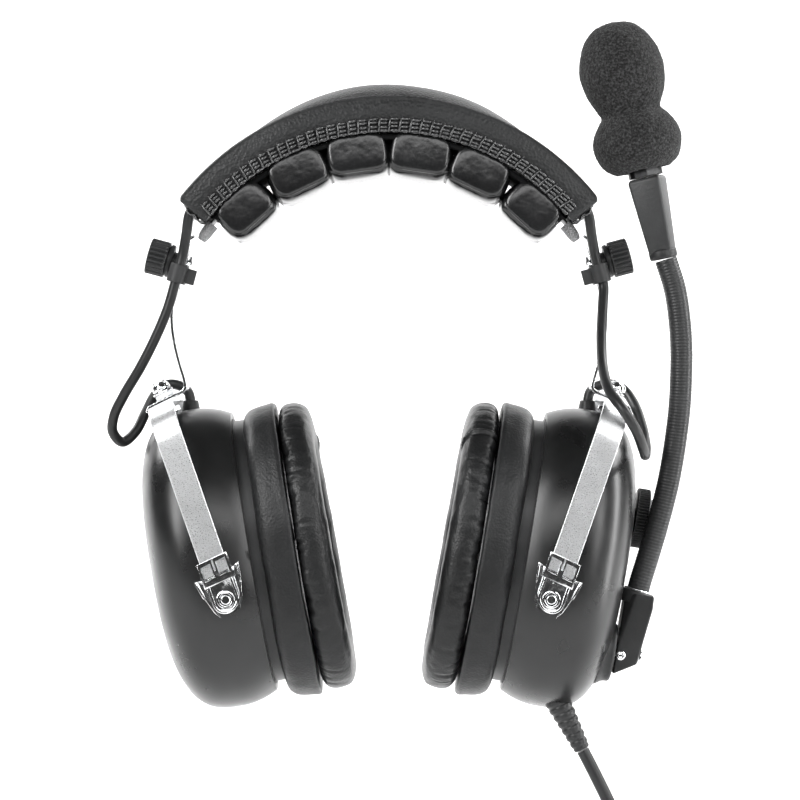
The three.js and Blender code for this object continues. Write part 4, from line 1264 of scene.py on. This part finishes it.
def make_ear_cushion(side, looks):
    """Soft ring: filled by simulation, then gathered in pleats along its base seam, with
    one joining seam across it."""
    place = side_frame(side) @ cup_frame() @ at(0, 0, -SEAL_DROP)
    outline = [
        (48.6, -16.2), (50.2, -17.6), (50.8, -20.4), (50.6, -24), (48.6, -27), (43, -28.2),
        (37, -27.6), (32.6, -25.4), (31.8, -21.5), (32.2, -18), (34, -16.3),
    ]
    profile = [tuple(p) for p in rounded(outline, 2.2, 3, True)]
    points, faces = oval(profile, 120, True)
    fuller = 0.012
    leaned = [Vector((p[0] + fuller * p[2] * min(max((SEAL_SEAM - p[0]) / 11, 0), 1), p[1], p[2]))
              for p in points]
    ring = add_piece(f"ear_cushion_{side}", moved((leaned, faces), place), looks["cushion"],
                     None, [f"ear_seal_cushion_{side}"])
    puffed(ring, 2.6, 0.6)
    subdivided(ring, 2)
    back = place.inverted()
    rng = random.Random(5 if side == "left" else 9)
    pleats = []
    position = 0.0
    perimeter = 2 * math.pi * SEAL_MEAN_RADIUS
    while position < perimeter - 2:
        pleats.append((position, rng.uniform(0.5, 1.0), rng.uniform(0.2, 0.5),
                       rng.uniform(3, 9), rng.uniform(-0.25, 0.25)))
        position += rng.uniform(3.0, 7.0)
    seam_at = 2.25
    rotation = np.array(back.to_3x3())
    origin = np.array(back.translation)

    def gathered(points, normals):
        local = points @ rotation.T + origin
        angle = np.arctan2(local[:, 2] / DOME_HALF_HEIGHT, local[:, 1] / DOME_HALF_WIDTH)
        along = (angle % (2 * math.pi)) * SEAL_MEAN_RADIUS
        radius = np.hypot(local[:, 1] * DOME_HALF_HEIGHT / DOME_HALF_WIDTH, local[:, 2])
        outside = np.clip((radius - 40) / 5, 0, 1)
        from_seam = SEAL_SEAM - local[:, 0]
        shift = np.zeros(len(points))
        for where, width, depth, reach, slant in pleats:
            d = (along - where - slant * from_seam + perimeter / 2) % perimeter - perimeter / 2
            fade = np.clip(1 - from_seam / reach, 0, 1) ** 0.7
            shift -= depth * np.exp(-(d / width) ** 2) * fade
            shift += 0.35 * depth * np.exp(-((np.abs(d) - 1.9 * width) / width) ** 2) * fade
        seam = (angle - seam_at + math.pi) % (2 * math.pi) - math.pi
        shift += 0.75 * np.exp(-((seam * SEAL_MEAN_RADIUS) / 0.55) ** 2)
        shift -= 0.5 * np.exp(-((np.abs(seam * SEAL_MEAN_RADIUS) - 1.6) / 0.8) ** 2)
        soft = np.array([noise.noise(Vector(p) * 0.09) for p in points])
        fine = np.array([noise.noise(Vector(p) * 0.35) for p in points])
        return shift * outside + 0.22 * soft + 0.07 * fine

    pushed(ring, gathered)
    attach(ring, f"cup_{side}")
    return ring


def make_cup_inside(side, looks):
    """What shows through the seal: a fabric-faced foam screen over the speaker, and the
    dark neck behind the seal."""
    place = side_frame(side) @ cup_frame()
    neck = [(44, -4.3), (45.9, -4.3), (46.0, -0.5), (46.6, -0.4), (46.6, 0.4), (44, 0.4)]
    add_piece(f"cup_neck_{side}", moved(oval(neck, 144, True), place), looks["neck"],
              f"cup_{side}", sharp=50)
    profile = [(0, -6.4), (20, -6.3), (28, -6.0), (30, -5.2), (30, -4.0), (0, -3.8)]
    screen = oval([tuple(p) for p in rounded(profile, 0.6, 3)], 96)
    piece = add_piece(f"speaker_screen_{side}", moved(screen, place), looks["inner_foam"],
                      f"cup_{side}", [f"speaker_foam_{side}"], sharp=50)


# ---------------------------------------------------------------- volume knob and boom
def make_volume_knob(looks):
    place = cup_frame() @ at(0, KNOB_Y, KNOB_U) @ turn(90, "Y")

    def ridges(angle, height):
        if not 37.0 < height < 41.0:
            return 0
        return 0.55 * ((math.cos(angle * KNOB_RIDGES) + 1) / 2) ** 1.5

    profile = [(3.4, 36.6), (9.7, 36.6), (10.3, 36.8)]
    profile += [(10.5, 37.0 + 4.0 * k / 10) for k in range(11)]
    profile += [(10.2, 41.2), (9.4, 41.4), (7.3, 41.4), (7.1, 41.6), (7.0, 43.7), (6.6, 44.2),
                (4, 44.2), (3.6, 43.9), (0, 43.9)]
    knob = lathe(profile, 8 * KNOB_RIDGES, ridges)
    add_piece("volume_dial", moved(knob, place), looks["plastic"], "volume_knob",
              ["volume_knob"], sharp=50)
    pointer = moved(block((0.5, 0.9, 2.6), (0, 0, 0)), place @ at(0, 5.2, 44.1) @ turn(90, "X"))
    add_piece("volume_pointer", pointer, looks["nylon"], "volume_knob", ease=0.1)


def make_boom_base(looks):
    place = cup_frame() @ at(0, BOOM_Y, BOOM_U) @ turn(90, "Y")
    profile = [(0, 29.4), (12.2, 29.4), (11.8, 31.5), (10.6, 33.2), (10.2, 34.4), (10.2, 35.6),
               (9.6, 36.25), (0, 36.25)]
    disc = lathe(rounded(profile, 0.5, 3), 72)
    add_piece("boom_seat", moved(disc, place), looks["plastic"], "cup_left",
              ["boom_base"])

    half = 7
    back = [(36.7, -7.7), (46.6, -7.5), (46.8, -12), (44.4, -31.6), (36.7, -36.3)]
    set_back = 3.4
    points = [Vector((n, BOOM_Y + half, u)) for n, u in back]
    points += [Vector((n, BOOM_Y - half, u)) for n, u in back[1:]]
    points += [Vector((40.4, BOOM_Y - half, -7.6)), Vector((36.7, BOOM_Y - half, -27)),
               Vector((36.7, BOOM_Y - half + set_back, -7.7))]
    front_right, left_facet = [5, 6, 7, 8, 10, 9], [9, 10, 11]
    faces = [[0, 4, 3, 2, 1], front_right[::-1], left_facet[::-1], [0, 1, 5, 9, 11],
             [1, 2, 6, 5], [2, 3, 7, 6], [3, 4, 8, 7], [4, 0, 11, 10, 8]]
    add_piece("boom_mount", moved((points, faces), cup_frame()), looks["plastic"], "boom",
              ["boom_block"], ease=0.7, sharp=20)
    foot, above = Vector(LOWER_NECK[1]), Vector(LOWER_NECK[2])
    neck_way = (above - foot).to_track_quat("Z", "Y").to_matrix().to_4x4()
    socket = lathe(rounded([(3.9, -3.5), (6.1, -3.5), (6.1, 0.6), (5.6, 1.1), (3.9, 1.1)], 0.4, 3),
                   48)
    add_piece("boom_socket", moved(socket, at(*foot) @ neck_way @ at(0, 0, -3.2)),
              looks["neck"], "boom", sharp=50)
    ring = lathe(rounded([(3.9, 1.0), (4.75, 1.0), (4.75, 1.7), (3.9, 1.7)], 0.2, 3), 48)
    add_piece("boom_ring", moved(ring, at(*foot) @ neck_way @ at(0, 0, -3.2)), looks["chrome"],
              "boom", sharp=50)
    screw = lathe(rounded([(0, 45.2), (3.6, 45.2), (3.6, 45.9), (2.9, 46.3), (1.6, 46.3),
                           (1.2, 45.6), (0, 45.6)], 0.2, 2), 40)
    stem = lathe([(0, 31.4), (1.9, 31.4), (1.9, 45.4), (0, 45.4)], 24)
    grub = moved(lathe(rounded([(0, 0), (1.7, 0), (1.7, 0.9), (1.2, 1.3), (0.7, 1.3), (0.6, 0.7),
                                (0, 0.7)], 0.15, 2), 32),
                 cup_frame() @ at(38.3, BOOM_Y - half + 0.6, -29.4) @ turn(90, "X"))
    add_piece("boom_bolt", merge(moved(merge(screw, stem), place), grub), looks["chrome"],
              "boom", ["boom_screw"])


LOWER_NECK = [(86.2, BOOM_Y, -16.1), (87, BOOM_Y, -12.4), (90.2, BOOM_Y, -2),
              (93.7, BOOM_Y, 10), (97, BOOM_Y, 23), (99.3, BOOM_Y, 36), (101, BOOM_Y, 50),
              (101.6, BOOM_Y, 64.8)]
BEND_POINT = (101.6, BOOM_Y, 69)
UPPER_NECK = [(101.1, BOOM_Y, 78), (99.4, BOOM_Y, 90), (96.2, BOOM_Y, 100.6)]


def make_gooseneck(looks):
    """One ribbed sleeve over the whole neck, curved through the bend point of the boom's tip."""
    route = evenly(smooth_route(LOWER_NECK + [BEND_POINT] + UPPER_NECK, 16), 460)
    rib_pitch = 1.1

    def ribbed(along):
        return BOOM_RADIUS - 0.16 * (0.5 + 0.5 * math.cos(2 * math.pi * along / rib_pitch)) ** 2

    neck = add_piece("boom_gooseneck", tube(route, ribbed, 28), looks["neck"], None,
                     ["boom_flex_lower", "boom_flex_upper"], sharp=80)
    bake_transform(neck)


def make_microphone(looks):
    """Tapered housing, turned a little on its axis, with a capsule in a foam windscreen."""
    house_at = at(95.2, BOOM_Y, 102.6) @ turn(-12.3, "Y") @ turn(-20, "Z")
    rings = []
    for height, width, deep in ((0, 6.8, 6.8), (0.5, 7.8, 7.8), (1, 8.2, 8.2), (14, 9.9, 9.9),
                                (25.6, 11.3, 11.3), (26.4, 11.0, 11.0), (27, 9.9, 9.9)):
        w, d = width / 2, deep / 2
        outline = rounded([(-w, -d), (w, -d), (w, d), (-w, d)], 1.1, 3, True)
        rings.append([(x, y, height) for x, y in outline])
    body = skin(rings)
    add_piece("mic_case", moved(body, house_at), looks["mic"], "boom_tip",
              ["mic_housing"], sharp=40)
    collar = lathe(rounded([(3.0, -1.8), (4.6, -1.8), (4.9, -1), (4.9, 1.2), (3.0, 1.2)], 0.4, 3),
                   40)
    add_piece("mic_collar", moved(collar, house_at), looks["plastic"], "boom_tip")

    foam_at = at(88.6, BOOM_Y, 130.6) @ turn(-12.3, "Y")
    outline = [
        (0, 17), (7.2, 17), (7.2, 1.2), (9, 0.8), (13.2, 3.4), (15.5, 9), (15.4, 13.6),
        (12.8, 18.6), (9.9, 21.4), (11.6, 24.2), (14.1, 30), (14.9, 36), (13.7, 43),
        (10.6, 49), (6, 52.7), (0, 53.6),
    ]
    profile = [tuple(p) for p in rounded(outline, 3.0, 6)]
    spaced = [tuple(p) for p in evenly(profile, 190)]
    spaced = [(0, spaced[0][1])] + [(max(r, 0.01), h) for r, h in spaced[1:-1]] + [(0, spaced[-1][1])]
    foam = add_piece("foam_windscreen", moved(lathe(spaced, 200), foam_at), looks["foam"],
                     "boom_tip", ["windscreen"], sharp=80)

    def pores(points, normals):
        return np.array([0.16 * noise.noise(Vector(p) * 1.5) + 0.12 * noise.noise(Vector(p) * 3.1)
                         + 0.25 * noise.noise(Vector(p) * 0.25) for p in points])

    pushed(foam, pores)


# ---------------------------------------------------------------- crossover wires
LOOP_START = [(66.5, -13.5, 120.4), (69, -13, 115.8), (70.2, -11, 109)]
LOOP_CLIP = [(71.5, -9.3, 102.2), (73.3, -9.3, 95.7), (74.4, -9.3, 91.6)]
LOOP_END = [(74.4, 13.5, 56.9), (71.5, 14, 55), (70.4, 14, 51.4), (70.2, 14, 47.1)]
RIGHT_SLACK = [
    (76.6, -9, 84), (80.6, -8, 74.5), (86.3, -6, 63.5), (92.5, -3, 53.5),
    (96.3, 0, 46), (96.9, 3, 40.5), (93.8, 6, 37), (89.5, 8, 40.5),
    (86, 10.5, 47.5), (82.5, 11.5, 54), (78.5, 12.5, 57.2),
]
LEFT_SLACK = [
    (73.9, -13, 83.5), (73, -20, 73), (72.9, -31, 62), (74.6, -40, 54.5),
    (78.6, -45.6, 48.6), (83, -44.4, 41.6), (86, -37, 35.2), (87.6, -26, 33),
    (88.5, -16, 36.5), (88, -6, 43), (86, 4, 50.5), (82.5, 11, 55.8), (78.5, 12.5, 57.4),
]


def make_wires(looks):
    """The wire through the pad, and each side's loop in three lengths."""
    points = [pad_point(a, PAD_WIRE_Y, PAD_WIRE_RADIUS) for a in range(-49, 50, 2)]
    add_piece("pad_wire", tube(points, WIRE_RADIUS, 16), looks["rubber"], "headband",
              ["overhead_wire"], sharp=60)
    for side, slack, sign in (("left", LEFT_SLACK, 1), ("right", RIGHT_SLACK, -1)):
        controls = LOOP_START + LOOP_CLIP + slack + LOOP_END
        route = smooth_route([(sign * x, y, z) for x, y, z in controls], 10)
        clip_end = (len(LOOP_START) + len(LOOP_CLIP)) * 10
        slack_end = len(route) - 1 - 32
        middle = (clip_end + slack_end) // 2
        upper = tube(route[:middle + 1], WIRE_RADIUS, 18)
        lower = tube(route[middle:slack_end + 1], WIRE_RADIUS, 18)
        last = tube(route[slack_end:], WIRE_RADIUS, 18)
        first_piece = add_piece(f"wire_upper_{side}", upper, looks["rubber"], None,
                                [f"wire_loop_{side}"], sharp=60)
        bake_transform(first_piece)
        second_piece = add_piece(f"wire_lower_{side}", lower, looks["rubber"], None,
                                 sharp=60)
        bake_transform(second_piece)
        third_piece = add_piece(f"wire_end_{side}", last, looks["rubber"], None,
                                sharp=60)
        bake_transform(third_piece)
        grommet = lathe(rounded([(1.7, 4.6), (2.6, 4.6), (3.4, 0.6), (4.6, 0), (4.6, -2),
                                 (1.7, -2)], 0.5, 3), 36)
        end = route[-1]
        direction = (route[-4] - end).normalized()
        place = at(*end) @ direction.to_track_quat("Z", "Y").to_matrix().to_4x4()
        add_piece(f"wire_grommet_{side}", moved(grommet, place), looks["rubber"], f"cup_{side}",
                  sharp=50)


# ---------------------------------------------------------------- carried-over CAD nodes
def dress_cad_nodes(looks):
    wanted = {
        "head_pad_foam": "inner_foam",
        "baffle_plate": "plastic",
        "speaker_driver": "black_metal",
        "dome_liner": "inner_foam",
        "volume_pot": "black_metal",
        "mic_capsule": "black_metal",
    }
    for name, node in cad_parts.items():
        for start, look in wanted.items():
            if name.startswith(start):
                node.data.materials.clear()
                node.data.materials.append(looks[look])


# ---------------------------------------------------------------- stage and light
def make_stage():
    """A pale sweep: floor, a wide curve, and a wall behind."""
    back, radius, top = 1.7, 0.6, 2.4
    profile = [(-0.6, FLOOR_Z), (back - radius, FLOOR_Z)]
    for k in range(1, 13):
        angle = math.pi / 2 * k / 12
        profile.append((back - radius + radius * math.sin(angle),
                        FLOOR_Z + radius * (1 - math.cos(angle))))
    profile.append((back, top))
    points = []
    for y, z in profile:
        points += [Vector((-3.0, y, z)), Vector((3.0, y, z))]
    faces = [[2 * i, 2 * i + 1, 2 * i + 3, 2 * i + 2] for i in range(len(profile) - 1)]
    mesh = bpy.data.meshes.new("sweep")
    mesh.from_pydata([tuple(p) for p in points], [], faces)
    mesh.shade_smooth()
    mesh.materials.append(backdrop_look())
    sweep = bpy.data.objects.new("sweep", mesh)
    bpy.context.scene.collection.objects.link(sweep)


def softbox(name, place, target, size, energy):
    data = bpy.data.lights.new(name, "AREA")
    data.shape = "RECTANGLE"
    data.size, data.size_y = size
    data.energy = energy
    light = bpy.data.objects.new(name, data)
    light.location = place
    light.rotation_euler = (Vector(target) - Vector(place)).to_track_quat("-Z", "Y").to_euler()
    bpy.context.scene.collection.objects.link(light)


def make_light():
    middle = (0, 0, 0.03)
    softbox("key", (-0.8, -0.85, 0.45), middle, (0.4, 0.8), 15)
    softbox("fill", (0.75, -0.85, 0.3), middle, (0.3, 0.8), 7)
    softbox("edge", (0.8, -0.05, 0.15), middle, (0.16, 0.9), 8)
    softbox("front", (0, -1.35, 0.5), middle, (1.5, 0.35), 9)
    softbox("wall_left", (-1.6, 0.7, 1.5), (-0.4, 1.7, 0.2), (1.0, 1.0), 62)
    softbox("wall_right", (1.6, 0.7, 1.5), (0.4, 1.7, 0.2), (1.0, 1.0), 62)
    world = bpy.data.worlds.new("studio")
    world.use_nodes = True
    background = world.node_tree.nodes["Background"]
    background.inputs["Color"].default_value = (1, 1, 1, 1)
    background.inputs["Strength"].default_value = 0.05
    bpy.context.scene.world = world
    bpy.context.scene.view_settings.view_transform = "Standard"


# ---------------------------------------------------------------- the headset
make_camera()
looks = make_looks()
lead, lead_path = make_lead(looks)
on_lead = make_plug(looks)
tie = make_tie(looks)
boot = make_strain_relief(looks)
make_wires(looks)
make_pad_cover(looks)
make_lacing(looks)
make_lobes(looks)
make_pad_hardware(looks)
band_spring(looks)
for side in ("left", "right"):
    make_knob(side, looks)
    make_clamp_screw(side, looks)
    make_slider(side, looks)
    make_swivel_bolt(side, looks)
    make_clip(side, looks)
    make_stirrup(side, looks)
    for face in (-1, 1):
        make_pivot(side, face, looks)
    make_dome(side, looks)
    make_seal_base(side, looks)
    make_ear_cushion(side, looks)
    make_cup_inside(side, looks)
make_volume_knob(looks)
make_boom_base(looks)
make_gooseneck(looks)
make_microphone(looks)
dress_cad_nodes(looks)
make_stage()
make_light()
